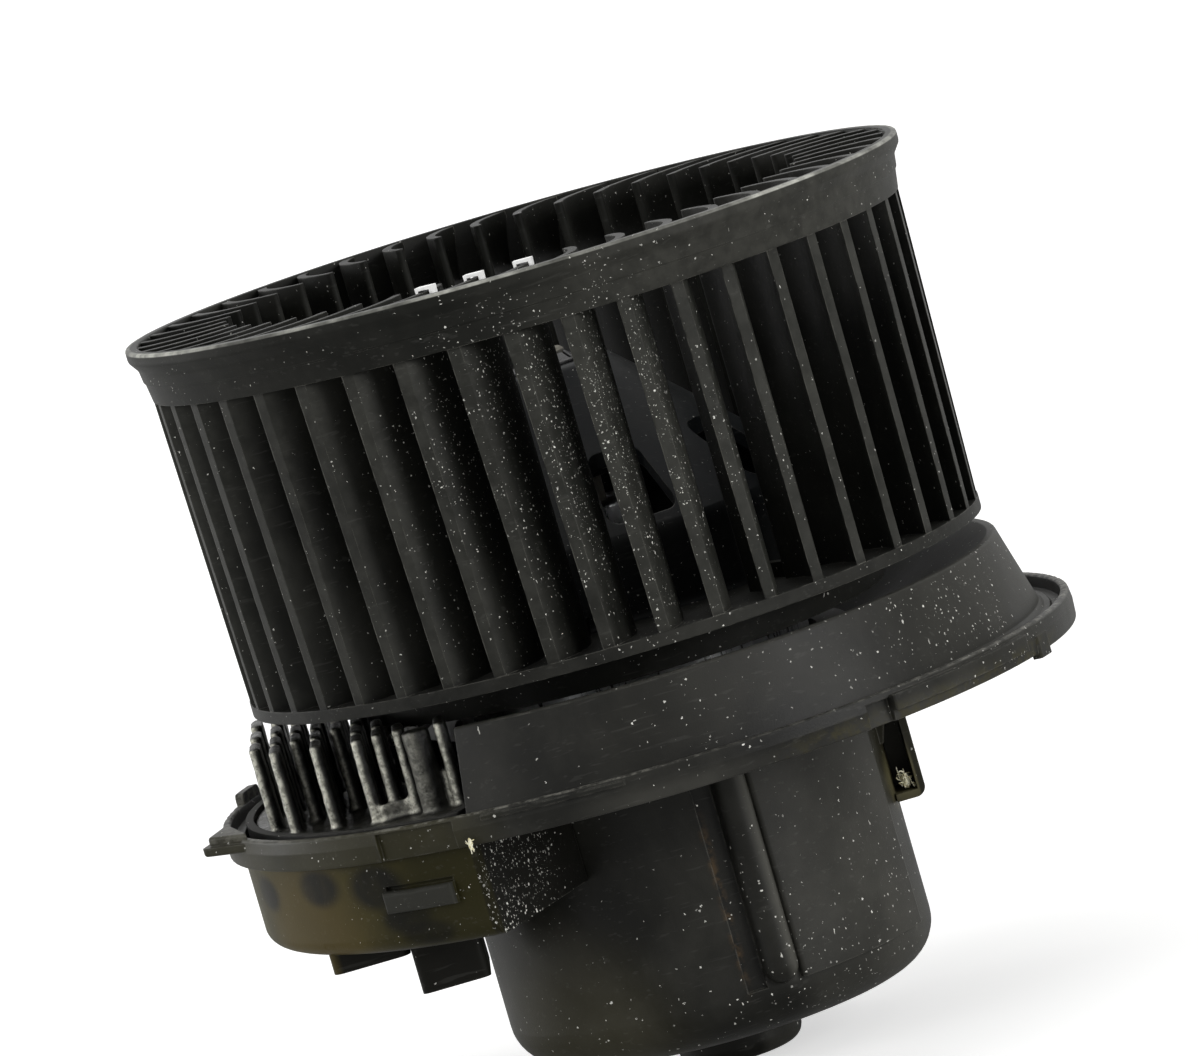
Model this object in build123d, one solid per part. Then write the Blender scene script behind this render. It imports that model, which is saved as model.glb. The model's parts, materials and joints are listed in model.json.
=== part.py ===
from build123d import *
from math import acos, atan2, cos, degrees, hypot, radians, sin, tan
import os

# Car cabin blower motor: a squirrel-cage fan on a direct-current motor that sits in a
# moulded flange with a motor cup, and a fan-speed regulator with a finned heat sink.
#
# Millimetres. The origin is on the fan axis, in the plane of the flange's seating face.
# +Z runs along the shaft towards the fan's inlet, -Y is the front and -X carries the
# regulator. An azimuth is measured about +Z from the front (-Y) towards +X.

# Fits
press_fit = 0.02          # radial, between parts that are pressed together
running_fit = 0.03        # radial, between a shaft and its bearing
slide_fit = 0.12          # each side, between a brush and its holder
assembly_gap = 0.3        # each side, between mouldings that only drop into each other

# Fan wheel
lip_radius = 75.0         # outer radius of the lip round the inlet
lip_height = 3.0
lip_top = 94.0            # height of the inlet lip above the flange's seat
band_radius = 73.6        # outer radius of the band just under the lip
band_depth = 10.6         # lip and band together
band_wall = 1.9
wheel_draft = 1.4         # how much smaller in radius the cage is at its base
cage_radius = 72.4        # outer radius of the blades at the band
blade_count = 43
blade_phase = 4.7         # azimuth of the first blade's outer edge
blade_inner_radius = 56.0
blade_sweep = 5.0         # azimuth of a blade's inner edge from its outer edge
blade_turn = 60.0         # how far a blade's section turns from edge to edge
blade_wall = 1.7
blade_recess = 0.2        # blade tops lie this far under the lip
base_bottom = 21.4        # underside of the base ring
base_wall = 2.4
skirt_radius = 50.5       # ring under the base that laps over the motor
skirt_depth = 7.0
skirt_wall = 2.0

# Domed hub in the fan's base
hub_wall = 2.0
hub_radius = 44.0         # cylindrical foot of the hub
hub_foot_height = 17.0    # from the base's underside to the start of the cone
hub_nose_radius = 11.5
hub_nose_height = 24.9    # nose below the lip's top
hub_window_count = 8
hub_window_phase = 14.0
hub_window_angle = 20.0
hub_window_radii = (28.0, 41.0)
hub_boss_radius = 7.5
hub_boss_length = 22.0
base_rib_count = 8
base_rib_height = 3.0

# Motor shaft
shaft_radius = 4.0
shaft_top_above_nose = 3.0
shaft_flat_depth = 0.8
shaft_flat_length = 20.0

# Push nut on the shaft's end
push_nut_radius = 8.0
push_nut_sheet = 0.6
push_nut_slots = 6

# Balance clips
clip_blades = (-1, -2, -3)    # blades that carry a clip, counted from the first
clip_seat = 0.62              # share of the blade's curve, from its outer edge
clip_sheet = 0.6
clip_length = 2.0
clip_leg = 4.0
clip_bow = 0.3                # each side, between a leg's root and the blade
clip_grip = 0.1               # each side, between a leg's end and the blade

# Flange moulding
flange_lip_top = 2.5
flange_lip_drop = 3.3         # lip below the seat
flange_lip_wall = 2.0
flange_plate = 2.2
trough_width = 2.0            # between the lip and the ring at the collar's foot
collar_top = 16.7
collar_foot_radius = 76.8
collar_lean = 4.3             # how much smaller in radius the collar is at its top
collar_foot = 1.6
collar_land = 1.6             # flat top of the collar wall
moulded_wall = 2.3
bowl_ledge = 4.8              # flat floor of the bowl between the motor cup and its slope
bowl_foot = 3.5
seat_ring_width = 2.2         # raised ring at the collar's foot

# Motor cup, one moulding with the flange
cup_radius = 41.2
cup_wall = 2.5
cup_bottom = -58.0
cup_floor = 2.5
cup_corner = 8.5
cup_rim = 6.0
cup_boss_radius = 12.0
cup_boss_bottom = -66.5
cup_boss_corner = 3.0
cup_boss_wall = 2.4

# Panel, rib and groove on the front of the cup
panel_azimuths = (19.6, 65.4)
panel_height = 1.5
panel_bottom = -49.0
rib_azimuth = 15.0
rib_radius = 3.3
groove_azimuths = (5.0, 10.4)
groove_depth = 0.9

# Bayonet ramps, notch and tabs on the flange's lip
ramp_starts = (0.0, 120.0)    # the tongue takes the third ramp's place
ramp_azimuths = (31.0, 57.0)
ramp_height = 3.0
ramp_proud = 1.2
ramp_top = 1.6
front_rib_azimuths = (-24.0, -5.0)
front_rib_height = 0.9
front_rib_top = 1.9
notch_azimuths = (27.3, 31.0)
notch_depth = 1.3
tongue_azimuth = -78.0
tongue_tip_radius = 87.3
tongue_half_angle = 8.5
tongue_top = 3.5
tongue_height = 3.4
tongue_ledge = 1.5            # how far the tongue's lower half stands out past the upper
tongue_round = 0.6
tongue_tip_round = 1.3
lip_nub_azimuths = (60.5, 64.0)
lip_flat_azimuths = (-40.2, -28.3)
lip_flat_depth = 1.0
lug_azimuth = -108.0
lug_half_angle = 3.4
lug_top = 4.5
lug_wall = 1.6

# Catch with a pocket on the right of the cup
catch_width = 12.0
catch_reach = 46.4            # outer face, from the axis
catch_bottom = -27.6
catch_wall = 1.5
catch_centre_y = -3.0
gusset_wall = 1.6
gusset_height = 14.0
side_gusset_azimuth = 80.0
side_gusset_reach = 5.0
rear_gusset_azimuths = (115.0, 150.0, 190.0)
rear_gusset_reach = 22.0

# Regulator opening in the flange
regulator_azimuths = (-153.0, -27.0)
opening_inner_radius = 51.2
opening_margin = 1.2          # angle left inside the regulator's own side walls
opening_gap = 0.05            # to the ring at the collar's foot

# Regulator housing
tub_radius = 80.3
tub_gap = 0.6                 # between the tub and the motor cup
tub_bottom = -21.0
tub_wall = 2.0
tub_floor = 2.0
tub_corner = 3.0
tub_latch_azimuths = (-42.6, -31.4)
tub_latch_top = -9.2
tub_latch_height = 4.0
tub_latch_proud = 1.7
tub_latch_round = 0.7
tub_latch_groove = 0.8        # height and depth of the groove over the latch
shroud_centre = (-47.3, -31.0)
shroud_size = (13.0, 22.0)
shroud_bottom = -32.2
shroud_wall = 1.6
block_centre = (-61.3, -30.0)
block_size = (14.6, 20.0)
block_drop = 3.6
boss_circle = 64.5
boss_azimuths = (-46.0, -90.0, -134.0)
boss_radius = 3.6

# Heat sink
sink_inner_gap = 0.2          # between the sink's seal and the opening's inner edge
sink_outer_gap = 0.85
sink_plate_top = 1.4
sink_plate = 3.9
sink_margin = 3.4             # angle between the sink's ends and the opening's ends
fin_top = 17.4
fin_wall = 2.5
fin_length = 9.8
fin_round = 0.6               # rounding of a fin's top edge
fin_column_pitch = 3.9
fin_row_pitch = 12.3
fin_first_column = -72.0
fin_columns = 10
fin_front_sum = 100.0         # |x| + |y| at the front corner of every second column
fin_second_row = 23.5         # front corner of the columns between them
fin_set_back = 10.0           # same, for the columns beside the fan's skirt
fin_edge_gap = 0.4            # fin to the plate's edge
fin_end_angle = 1.5           # fin to the plate's ends
fin_clear_of_skirt = 2.2      # fin to the fan's skirt
post_azimuth = -38.8
post_circle = 66.3
post_radius = 2.5
tie_height = 3.2              # low ribs that join two fins behind the post
tie_wall = 1.1
tie_places = ((-48.6, -47.6), (-48.6, -28.0))
seal_height = 4.4
seal_wall = 1.6
seal_top = 2.2

# Circuit board and what it carries
board_top = -10.4
board_wall = 1.6
board_gap = 1.3               # between the board and the tub's walls
board_margin = 6.0
transistor_azimuths = (-67.0, -113.0)
transistor_circle = 65.0
transistor_size = (10.0, 15.0, 4.4)
transistor_tab = 1.3
leg_count = 3
leg_pitch = 2.54
leg_width = 0.8
capacitor_radius = 5.0
capacitor_height = 6.8
capacitor_azimuth = -140.0
capacitor_circle = 54.0

# Screws
screw_radius = 1.6
screw_head_radius = 3.0
screw_head_height = 2.0

# Plug pins
pin_count = 4
pin_pitch = 4.4
pin_size = (0.8, 1.5)
pin_below_floor = 7.5

# Motor can and magnets
can_radius = 34.0
can_wall = 1.8
can_top = 33.0
can_bottom = -47.0
can_corner = 4.0
can_vents = 6
can_vent_radii = (16.0, 27.0)
can_vent_angle = 26.0
bearing_boss_wall = 2.0
magnet_gap = 0.7              # air gap to the armature
magnet_wall = 4.7
magnet_span = 124.0
magnet_heights = (-20.0, 24.0)
magnet_clip_sheet = 0.7

# Bearings
bush_radius = 7.0
bush_height = 8.0
bush_taper = 1.2
upper_bush_bottom = 31.6
lower_bush_bottom = -52.4
star_washer_radius = 12.5
star_washer_sheet = 0.7
thrust_washer_radius = 7.0
thrust_washer_sheet = 0.6

# Armature
core_radius = 26.4
core_heights = (-16.0, 20.0)
slot_count = 12
slot_depth = 11.0
slot_width = 4.2
slot_mouth = 1.6
tooth_tip = 1.5
coil_gap = 0.15
coil_end_top = 8.0
coil_end_bottom = 6.0
commutator_radius = 10.0
commutator_heights = (-36.0, -24.0)
riser_radius = 12.0
riser_height = 2.2
bar_slot = 0.6
bar_slot_depth = 1.4

# Brushes, springs and their card
end_cap_wall = 2.0
card_radius = 31.6
card_heights = (-41.0, -38.5)
card_bore = 13.2
brush_size = (8.0, 13.0, 7.0)
brush_gap = 0.3               # brush face to commutator
holder_wall = 0.6
holder_length = 17.6
spring_radius = 2.4
spring_wire = 0.3
spring_turns = 4
choke_radius = 2.6
choke_length = 13.0
choke_place = (19.0, 15.0)
suppressor_size = (9.0, 4.0, 8.0)

# Rubber rings and the ring that holds the motor down
isolator_height = 9.0
isolator_top = 5.0
floor_isolator_radii = (20.0, 30.5)
retainer_ring_height = 2.4
retainer_ring_inner = 35.4
retainer_ear_circle = 45.2
retainer_ear_radius = 3.8
retainer_azimuths = (30.0, 150.0, 270.0)

# Busbars from the motor to the regulator
busbar_width = 5.0
busbar_sheet = 0.8
busbar_spacing = 10.0
busbar_rise = 36.3            # distance of the upright leg from the axis
busbar_top = -14.0
busbar_reach = 50.5

# Worked out from the sizes above
shaft_bore = shaft_radius + press_fit
bearing_bore = shaft_radius + running_fit
nose_top = lip_top - hub_nose_height
shaft_top = nose_top + shaft_top_above_nose
lower_bush_top = lower_bush_bottom + bush_height
upper_bush_top = upper_bush_bottom + bush_height
shaft_bottom = lower_bush_bottom - 1.0
cage_base_radius = cage_radius - wheel_draft
base_top = base_bottom + base_wall
band_bottom = lip_top - band_depth
cup_bore = cup_radius - cup_wall
cup_inside_floor = cup_bottom + cup_floor
can_bore = can_radius - can_wall
magnet_radius = core_radius + magnet_gap
brush_height = (commutator_heights[0] + commutator_heights[1] - riser_height) / 2
brush_face = commutator_radius + brush_gap
brush_tail = brush_face + brush_size[1]
holder_start = card_bore + 0.2
holder_end = holder_start + holder_length
sink_bottom = sink_plate_top - sink_plate
tub_top = -flange_plate - assembly_gap
board_bottom = board_top - board_wall
collar_top_radius = collar_foot_radius - collar_lean
seat_ring_radius = collar_foot_radius + seat_ring_width
flange_radius = seat_ring_radius + trough_width + flange_lip_wall
bowl_foot_radius = cup_radius + bowl_ledge
opening_outer_radius = seat_ring_radius + opening_gap
tub_inner_radius = cup_radius + tub_gap
sink_inner_radius = opening_inner_radius + seal_wall + sink_inner_gap
sink_outer_radius = opening_outer_radius - seal_wall - sink_outer_gap
board_radii = (tub_inner_radius + tub_wall + board_gap, tub_radius - tub_wall - board_gap)


def at(radius, azimuth, z=0.0):
    """Point at a radius and azimuth about the fan axis."""
    return (radius * sin(radians(azimuth)), -radius * cos(radians(azimuth)), z)


def lift(z):
    return Pos(0, 0, z)


def turned(shape, azimuth):
    """A shape drawn at the front, turned about the fan axis to an azimuth."""
    return Rot(0, 0, azimuth) * shape


def around(shape, count, phase=0.0):
    """Copies of a shape drawn at the front, evenly spaced about the fan axis."""
    return [turned(shape, phase + 360.0 * k / count) for k in range(count)]


def tube(radius, bore, bottom, top):
    ring = Circle(radius) if bore <= 0 else Circle(radius) - Circle(bore)
    return lift(bottom) * extrude(ring, amount=top - bottom, dir=(0, 0, 1))


def rounded_face(points):
    """Closed outline in the XZ plane. A point is (r, z) or (r, z, corner radius)."""
    count = len(points)
    edges = []
    ends = []
    for k, point in enumerate(points):
        here = Vector(point[0], 0, point[1])
        radius = point[2] if len(point) > 2 else 0.0
        if radius <= 0:
            ends.append((here, here))
            continue
        back = points[k - 1]
        ahead = points[(k + 1) % count]
        to_back = (Vector(back[0], 0, back[1]) - here).normalized()
        to_ahead = (Vector(ahead[0], 0, ahead[1]) - here).normalized()
        half = acos(max(-1.0, min(1.0, to_back.dot(to_ahead)))) / 2
        trim = radius / tan(half)
        middle = (to_back + to_ahead).normalized() * (radius / sin(half) - radius)
        ends.append((here + to_back * trim, here + to_ahead * trim))
        edges.append(ThreePointArc(ends[-1][0], here + middle, ends[-1][1]))
    for k in range(count):
        start, finish = ends[k][1], ends[(k + 1) % count][0]
        if (finish - start).length > 1e-6:
            edges.append(Line(start, finish))
    return make_face(edges)


def turned_solid(points):
    return revolve(rounded_face(points), axis=Axis.Z)


def sector_face(inner, outer, azimuths):
    """Part of a flat ring between two azimuths."""
    first, last = azimuths
    mid = (first + last) / 2
    edges = [
        Line(at(inner, first), at(outer, first)),
        ThreePointArc(at(outer, first), at(outer, mid), at(outer, last)),
        Line(at(outer, last), at(inner, last)),
        ThreePointArc(at(inner, last), at(inner, mid), at(inner, first)),
    ]
    return make_face(edges)


def sector(inner, outer, azimuths, bottom, top, corner=0.0):
    face = sector_face(inner, outer, azimuths)
    if corner > 0:
        face = fillet(face.vertices(), corner)
    return lift(bottom) * extrude(face, amount=top - bottom, dir=(0, 0, 1))


def shrunk(azimuths, margin):
    return (azimuths[0] + margin, azimuths[1] - margin)


def block(size, centre, bottom, corner=0.0):
    """Upright block of (x, y) size, with its foot at a height."""
    face = RectangleRounded(size[0], size[1], corner) if corner > 0 else Rectangle(size[0], size[1])
    return Pos(centre[0], centre[1], bottom) * extrude(face, amount=size[2], dir=(0, 0, 1))


def joined(shapes):
    first, *rest = shapes
    return first.fuse(*rest) if rest else first


# Fan wheel

def blade_frame():
    """Centre, arc radius and end angles of a blade's curved middle line at the front."""
    tip = Vector(*at(cage_radius, 0))
    heel = Vector(*at(blade_inner_radius, blade_sweep))
    chord = heel - tip
    arc_radius = chord.length / (2 * sin(radians(blade_turn / 2)))
    side = Vector(-chord.Y, chord.X, 0).normalized()
    centre = (tip + heel) * 0.5 + side * (arc_radius * cos(radians(blade_turn / 2)))
    tip_angle = degrees(atan2(tip.Y - centre.Y, tip.X - centre.X))
    return centre, arc_radius, tip_angle


def blade():
    """One forward-curved blade, trimmed by the cage's cone."""
    centre, arc_radius, tip_angle = blade_frame()
    overrun = 12.0

    def on_arc(radius, angle):
        return (
            centre.X + radius * cos(radians(tip_angle + angle)),
            centre.Y + radius * sin(radians(tip_angle + angle)),
            0,
        )

    outer = arc_radius + blade_wall / 2
    inner = arc_radius - blade_wall / 2
    mid_angle = (blade_turn - overrun) / 2
    edges = [
        ThreePointArc(on_arc(outer, -overrun), on_arc(outer, mid_angle), on_arc(outer, blade_turn)),
        ThreePointArc(
            on_arc(outer, blade_turn), on_arc(arc_radius, blade_turn + 2.5), on_arc(inner, blade_turn)
        ),
        ThreePointArc(on_arc(inner, blade_turn), on_arc(inner, mid_angle), on_arc(inner, -overrun)),
        Line(on_arc(inner, -overrun), on_arc(outer, -overrun)),
    ]
    foot = base_bottom + base_wall / 2
    top = lip_top - blade_recess
    prism = lift(foot) * extrude(make_face(edges), amount=top - foot, dir=(0, 0, 1))
    envelope = turned_solid([
        (blade_inner_radius - 2, foot),
        (cage_base_radius, foot),
        (cage_radius, band_bottom),
        (cage_radius, top),
        (blade_inner_radius - 2, top),
    ])
    return prism & envelope


def inlet_band():
    """Lip and band round the inlet, with the step that the photograph shows."""
    inside = lip_radius - 2.3
    lip_bottom = lip_top - lip_height
    return turned_solid([
        (inside, lip_top, 0.3),
        (lip_radius, lip_top, 0.5),
        (lip_radius, lip_bottom + 0.8, 1.0),
        (band_radius, lip_bottom - 1.2, 1.5),
        (band_radius - 0.3, band_bottom + 4.0),
        (band_radius - 0.6, band_bottom + 3.6),
        (cage_radius + 0.1, band_bottom),
        (cage_radius - band_wall, band_bottom),
        (band_radius - band_wall, lip_bottom - 1.0),
    ])


def hub_shell():
    """Base plate and domed hub as one turned section, with the boss for the shaft."""
    cone_foot = base_bottom + hub_foot_height
    boss_bottom = nose_top - hub_boss_length
    inner_radius = hub_radius - hub_wall
    inner_nose = hub_nose_radius - 0.5
    shell = turned_solid([
        (cage_base_radius + 0.2, base_bottom),
        (cage_base_radius + 0.2, base_top),
        (hub_radius, base_top, 1.5),
        (hub_radius, cone_foot, 4.0),
        (hub_nose_radius, nose_top, 3.0),
        (shaft_bore, nose_top),
        (shaft_bore, nose_top - hub_wall * 1.3),
        (inner_nose, nose_top - hub_wall * 1.3),
        (inner_radius, cone_foot - hub_wall * 0.6, 2.5),
        (inner_radius, base_bottom),
    ])
    boss = tube(hub_boss_radius, shaft_bore, boss_bottom, nose_top - hub_wall)
    return shell + boss


def hub_windows():
    half = hub_window_angle / 2
    window = sector(*hub_window_radii, (-half, half), base_top + 4, nose_top, corner=2.5)
    return around(window, hub_window_count, hub_window_phase)


def hub_webs():
    """Thin webs that carry the boss under the nose."""
    reach = hub_window_radii[0] - 6
    boss_bottom = nose_top - hub_boss_length
    web = rounded_face([
        (hub_boss_radius - 1, boss_bottom + 4),
        (hub_boss_radius + 3, boss_bottom + 5),
        (reach, nose_top - reach + 2),
        (hub_nose_radius, nose_top - hub_wall),
        (hub_boss_radius - 1, nose_top - hub_wall),
    ])
    plate = extrude(web, amount=0.9, both=True)
    return around(plate, hub_window_count // 2, 45.0)


def base_ribs():
    """Low ribs on top of the base plate between hub and blades."""
    run = blade_inner_radius - hub_radius + 3
    rib = Pos(0, -(hub_radius - 1 + run / 2), base_top - 0.5)
    rib = rib * extrude(Rectangle(1.6, run), amount=base_rib_height + 0.5, dir=(0, 0, 1))
    return around(rib, base_rib_count, hub_window_phase + 22.5)


def fan_wheel():
    skirt = tube(skirt_radius, skirt_radius - skirt_wall, base_bottom - skirt_depth, base_bottom + 0.5)
    wheel = joined([hub_shell(), skirt, *hub_webs(), *base_ribs()])
    wheel = wheel - hub_windows()
    flat_length = hub_boss_length - 4
    flat = Pos(shaft_radius - shaft_flat_depth + press_fit + 1, 0, nose_top - 1 - flat_length / 2)
    wheel = wheel + flat * Box(2, 1.2 * shaft_radius, flat_length)
    blades = around(blade(), blade_count, blade_phase)
    return joined([wheel, inlet_band(), *blades])


def balance_clips():
    """Three spring-steel saddles pushed over neighbouring blades at the inlet."""
    centre, arc_radius, tip_angle = blade_frame()
    seat_angle = tip_angle + blade_turn * clip_seat
    root = blade_wall / 2 + clip_bow
    end = blade_wall / 2 + clip_grip
    top = lip_top - blade_recess + clip_bow
    foot = top - clip_leg
    section = make_face(Polyline(
        (-end - clip_sheet, foot), (-root - clip_sheet, top + clip_sheet),
        (root + clip_sheet, top + clip_sheet), (end + clip_sheet, foot), (end, foot),
        (root, top), (-root, top), (-end, foot), close=True,
    ))
    saddle = extrude(Plane.XZ * section, amount=clip_length / 2, both=True)
    seat_x = centre.X + arc_radius * cos(radians(seat_angle))
    seat_y = centre.Y + arc_radius * sin(radians(seat_angle))
    saddle = Pos(seat_x, seat_y, 0) * Rot(0, 0, seat_angle) * saddle
    step = 360.0 / blade_count
    return Compound(children=[turned(saddle, blade_phase + k * step) for k in clip_blades])


# Shaft and armature

def motor_shaft():
    shaft = turned_solid([
        (0, shaft_bottom),
        (shaft_radius - 0.6, shaft_bottom),
        (shaft_radius, shaft_bottom + 0.6),
        (shaft_radius, shaft_top - 0.6),
        (shaft_radius - 0.6, shaft_top),
        (0, shaft_top),
    ])
    flat = Pos(shaft_radius - shaft_flat_depth + 2, 0, nose_top - shaft_flat_length / 2)
    return shaft - flat * Box(4, 3 * shaft_radius, shaft_flat_length)


def push_nut():
    """Dished steel washer whose teeth bite on the shaft above the hub's nose."""
    ring = turned_solid([
        (shaft_bore, nose_top + 1.4),
        (shaft_bore, nose_top + 1.4 + push_nut_sheet),
        (push_nut_radius - 2.5, nose_top + push_nut_sheet),
        (push_nut_radius, nose_top + push_nut_sheet),
        (push_nut_radius, nose_top),
        (push_nut_radius - 2.7, nose_top),
    ])
    slot = Pos(0, -shaft_radius - 0.6, nose_top + 1) * Box(0.9, 2.4, 4)
    return ring - around(slot, push_nut_slots)


def thrust_washers():
    upper = upper_bush_bottom - 1.4 - thrust_washer_sheet
    lower = lower_bush_top + 0.3
    bore = shaft_radius + press_fit
    return Compound(children=[
        tube(thrust_washer_radius, bore, z, z + thrust_washer_sheet) for z in (upper, lower)
    ])


def slot_shape(clearance, bottom, top):
    """Winding slot, or the coil side in it when the clearance is positive."""
    width = slot_width - 2 * clearance
    inner = core_radius - tooth_tip - slot_depth + clearance
    outer = core_radius - tooth_tip - clearance
    face = Pos(0, -(inner + outer) / 2) * RectangleRounded(width, outer - inner, width * 0.3)
    return lift(bottom) * extrude(face, amount=top - bottom, dir=(0, 0, 1))


def armature_core():
    bottom, top = core_heights
    core = tube(core_radius, shaft_bore, bottom, top)
    mouth = Pos(0, -core_radius, (bottom + top) / 2) * Box(slot_mouth, 2 * tooth_tip + 1, top - bottom)
    slot = slot_shape(0, bottom, top) + mouth
    return core - around(slot, slot_count)


def armature_winding():
    """Coil sides in the slots, joined by the wound heads above and below the core."""
    bottom, top = core_heights
    sides = around(slot_shape(coil_gap, bottom - 1, top + 1), slot_count)
    outer = core_radius - tooth_tip - coil_gap
    inner = outer - slot_depth + 1
    heads = [
        turned_solid([
            (inner - 2, top + coil_gap), (outer, top + coil_gap, 1.0),
            (outer, top + coil_end_top, 3.0), (inner - 2, top + coil_end_top, 3.0),
        ]),
        turned_solid([
            (inner - 2, bottom - coil_gap), (outer, bottom - coil_gap, 1.0),
            (outer, bottom - coil_end_bottom, 2.4), (inner - 2, bottom - coil_end_bottom, 2.4),
        ]),
    ]
    return joined(heads + sides)


def commutator():
    bottom, top = commutator_heights
    body = tube(commutator_radius, shaft_bore, bottom, top)
    riser = tube(riser_radius, shaft_bore, top - riser_height, top)
    slot = Pos(0, -riser_radius, (bottom + top) / 2)
    slot = slot * Box(bar_slot, 2 * (riser_radius - commutator_radius + bar_slot_depth), top - bottom + 1)
    return (body + riser) - around(slot, slot_count, 15.0)


# Flange moulding

def flange_section():
    lip_inside = flange_radius - flange_lip_wall
    slope = (collar_foot_radius - collar_top_radius) / (collar_top - collar_foot)
    under_collar = collar_top - moulded_wall
    bore_boss = cup_boss_radius - cup_boss_wall
    return turned_solid([
        (0, cup_boss_bottom),
        (cup_boss_radius, cup_boss_bottom, cup_boss_corner),
        (cup_boss_radius, cup_bottom),
        (cup_radius, cup_bottom, cup_corner),
        (cup_radius, bowl_foot - moulded_wall),
        (bowl_foot_radius + 1, bowl_foot - moulded_wall),
        (collar_top_radius - moulded_wall - 0.4, under_collar - 0.3),
        (collar_top_radius + slope * moulded_wall - moulded_wall + 0.1, under_collar - 0.3),
        (collar_foot_radius - moulded_wall, -flange_plate),
        (lip_inside - 0.3, -flange_plate),
        (lip_inside, -flange_lip_drop),
        (flange_radius - 0.2, -flange_lip_drop, 0.4),
        (flange_radius, 0),
        (flange_radius - 0.3, flange_lip_top, 0.5),
        (lip_inside + 0.2, flange_lip_top, 0.4),
        (lip_inside - 0.2, 0),
        (seat_ring_radius, 0),
        (seat_ring_radius - 0.3, 0.6),
        (collar_foot_radius + 0.9, 0.6),
        (collar_foot_radius, collar_foot),
        (collar_top_radius, collar_top, 0.6),
        (collar_top_radius - collar_land, collar_top, 0.6),
        (bowl_foot_radius, bowl_foot, 2.0),
        (cup_radius, bowl_foot),
        (cup_radius, cup_rim),
        (cup_bore, cup_rim),
        (cup_bore, cup_inside_floor, cup_corner - cup_wall),
        (bore_boss, cup_inside_floor),
        (bore_boss, cup_boss_bottom + cup_floor),
        (0, cup_boss_bottom + cup_floor),
    ])


def regulator_opening():
    """Opening in the flange and bowl that the heat sink stands in."""
    span = shrunk(regulator_azimuths, opening_margin)
    return sector(opening_inner_radius, opening_outer_radius, span, -flange_plate - 6, collar_top + 1, 2.0)


def collar_ends():
    """Walls that close the hollow collar on both sides of the opening."""
    filled = turned_solid([
        (bowl_foot_radius, -flange_plate),
        (collar_foot_radius, -flange_plate),
        (collar_foot_radius, collar_foot),
        (collar_top_radius - 0.3, collar_top - 0.3),
        (collar_top_radius - collar_land, collar_top - 0.3),
        (bowl_foot_radius, bowl_foot - 0.3),
    ])
    inside = degrees(moulded_wall / collar_foot_radius)
    first, last = shrunk(regulator_azimuths, opening_margin)
    cutters = [
        sector(bowl_foot_radius, flange_radius, span, -flange_plate, collar_top + 1)
        for span in ((first - inside, first), (last, last + inside))
    ]
    return [filled & cutter for cutter in cutters]


def cup_panel():
    return sector(cup_bore + 0.5, cup_radius + panel_height, panel_azimuths, panel_bottom, -0.5, 0.9)


def cup_rib():
    top = -flange_plate + 0.4
    centre = at(cup_radius + 0.2, rib_azimuth, panel_bottom + rib_radius)
    rod = Pos(*centre) * extrude(Circle(rib_radius), amount=top - centre[2], dir=(0, 0, 1))
    return rod + Pos(*centre) * Sphere(rib_radius)


def catch():
    """Pocketed catch hanging from the flange on the right of the cup."""
    inner = cup_radius - 0.6
    reach = catch_reach - inner
    height = -catch_bottom
    centre = inner + reach / 2
    outer = Pos(centre, catch_centre_y, catch_bottom + height / 2)
    body = outer * Box(reach, catch_width, height)
    body = fillet(body.edges().filter_by(Axis.Y).group_by(Axis.Z)[0].sort_by(Axis.X)[-1], 2.0)
    inside = outer * Pos(-catch_wall / 2, -catch_wall, catch_wall)
    return body - inside * Box(reach - catch_wall, catch_width, height)


def gusset(azimuth, reach, height):
    """Triangular web between cup and flange."""
    web = rounded_face([
        (cup_radius - 0.5, -1.0),
        (cup_radius + reach, -1.0),
        (cup_radius + reach, -flange_plate - 0.4),
        (cup_radius + 0.6, -flange_plate - height, 0),
        (cup_radius - 0.5, -flange_plate - height),
    ])
    plate = extrude(web, amount=gusset_wall / 2, both=True)
    return Rot(0, 0, azimuth - 90) * plate


def lip_ramp(azimuths):
    inner = flange_radius - 0.8
    return sector(inner, flange_radius + ramp_proud, azimuths, ramp_top - ramp_height, ramp_top, 0.5)


def front_rib():
    inner = flange_radius - 0.8
    top = front_rib_top
    return sector(inner, flange_radius + 0.5, front_rib_azimuths, top - front_rib_height, top)


def beak(tip_radius, half_angle, bottom, top, rounded_level):
    """Pointed finger on the lip, with a round tip and one rounded rim."""
    root = flange_radius - 1.0
    face = make_face(Polyline(
        at(root, -half_angle), at(tip_radius + tongue_tip_round, 0), at(root, half_angle), close=True
    ))
    face = fillet(face.vertices().sort_by(Axis.Y)[0], tongue_tip_round)
    body = lift(bottom) * extrude(face, amount=top - bottom, dir=(0, 0, 1))
    level = body.edges().filter_by(lambda edge: abs(edge.bounding_box().min.Z - rounded_level) < 0.01)
    rim = level.filter_by(lambda edge: abs(edge.bounding_box().max.Z - rounded_level) < 0.01)
    return turned(fillet(rim.sort_by(Axis.Y)[:3], tongue_round), tongue_azimuth)


def tongue():
    """Beak in two layers beside the regulator."""
    middle = tongue_top - tongue_height * 0.5
    bottom = tongue_top - tongue_height
    lower = beak(tongue_tip_radius, tongue_half_angle, bottom, middle, bottom)
    inner_tip = tongue_tip_radius - tongue_ledge
    upper = beak(inner_tip, tongue_half_angle - tongue_ledge, middle - 0.4, tongue_top, tongue_top)
    return lower + upper


def lip_lug():
    span = (lug_azimuth - lug_half_angle, lug_azimuth + lug_half_angle)
    inner = flange_radius - flange_lip_wall + 0.2
    lug = sector(inner, inner + lug_wall, span, -1.0, lug_top)
    corners = lug.edges().group_by(Axis.Z)[-1].filter_by(GeomType.LINE)
    return fillet(corners, 1.2)


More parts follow.
